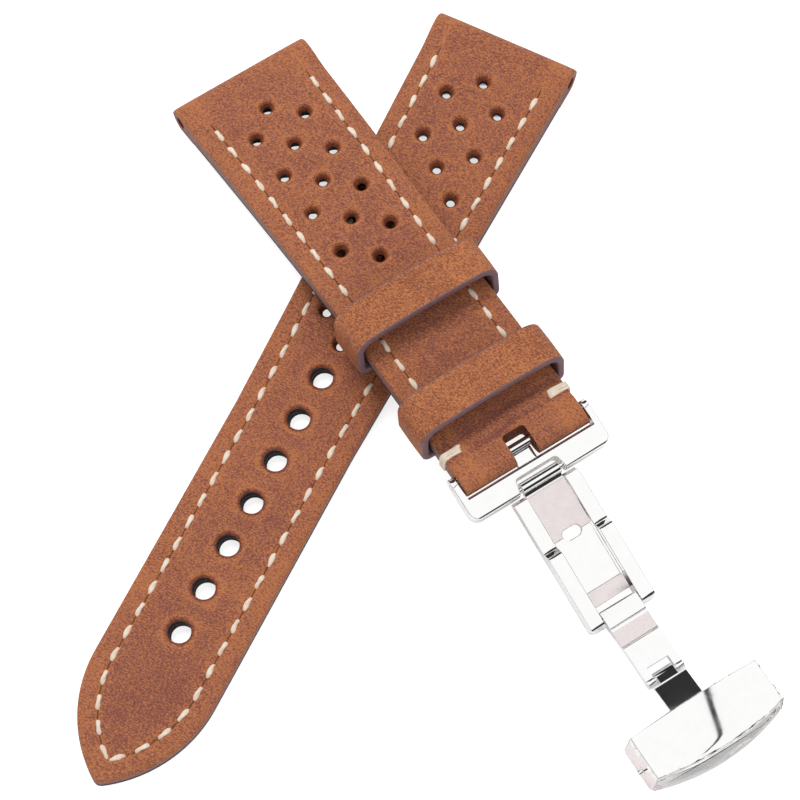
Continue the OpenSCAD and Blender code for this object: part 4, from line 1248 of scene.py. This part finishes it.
def mirrored(g):
    """Brightness that steel mirrors in the world, by direction."""
    way = g.node("ShaderNodeSeparateXYZ", {0: g.coordinates.outputs["Generated"]})
    up = g.math("MAXIMUM", way.outputs[2], LEAST_UP)
    u, v = (g.math("DIVIDE", way.outputs[k], up) for k in (0, 1))

    def step(value, low, high):
        """0 at low and 1 at high."""
        share = g.math("DIVIDE", g.math("SUBTRACT", value, low), high - low)
        return g.math("SMOOTH_MIN", g.math("MAXIMUM", share, 0.0), 1.0, STEP_ROUND)

    def band(value, ends):
        """1 between the ends."""
        return g.math("MULTIPLY", step(value, ends[0] - BLUR, ends[0] + BLUR),
                      step(value, ends[1] + BLUR, ends[1] - BLUR))

    right, front = band(u, RIGHT_BAND), band(v, FRONT_BAND)
    aside = g.math("ABSOLUTE", g.total((v, -GAP_LEAN), (u, 1.0), (1.0, GAP_LEAN * GAP_AT[1] - GAP_AT[0])))
    gap = step(aside, GAP_HALF + GAP_SOFT, GAP_HALF)
    corner = g.math("MULTIPLY", band(u, CORNER_U), band(v, CORNER_V))
    dark = g.math("MAXIMUM", g.math("MAXIMUM", right, front), g.math("MAXIMUM", gap, corner))
    above = g.math("GREATER_THAN", way.outputs[2], 0.0)
    return g.math("SUBTRACT", 1.0, g.math("MULTIPLY", g.math("MULTIPLY", dark, above), 1 - DARK))


def studio():
    world = bpy.data.worlds.new("studio")
    bpy.context.scene.world = world
    g = Graph(world)
    path = g.node("ShaderNodeLightPath")
    level = g.math("MAXIMUM", path.outputs["Is Camera Ray"], path.outputs["Is Glossy Ray"])
    level = g.math("MULTIPLY_ADD", level, 1 - WORLD_LIGHT, WORLD_LIGHT)
    shape = g.math("MAXIMUM", mirrored(g), g.math("SUBTRACT", 1.0, path.outputs["Is Glossy Ray"]))
    light = {"Color": (1.0, 1.0, 1.0), "Strength": g.math("MULTIPLY", level, shape)}
    g.node("ShaderNodeOutputWorld", {0: g.node("ShaderNodeBackground", light).outputs[0]})


def lamp(name, place, size, power):
    light = bpy.data.lights.new(name, "AREA")
    light.shape = "RECTANGLE"
    light.size, light.size_y = size
    light.energy = power
    ob = new_object(name, light)
    aim = LAMP_AIM - Vector(place)
    ob.matrix_world = Matrix.Translation(place) @ aim.to_track_quat("-Z", "Y").to_matrix().to_4x4()
    ob.visible_glossy = False


floor()
studio()
lamp("key", (-0.35, 0.15, 0.6), (0.35, 0.35), KEY_LIGHT)
lamp("fill", (0.55, -0.35, 0.45), (0.5, 0.3), FILL_LIGHT)

bpy.context.scene.view_settings.view_transform = "Standard"
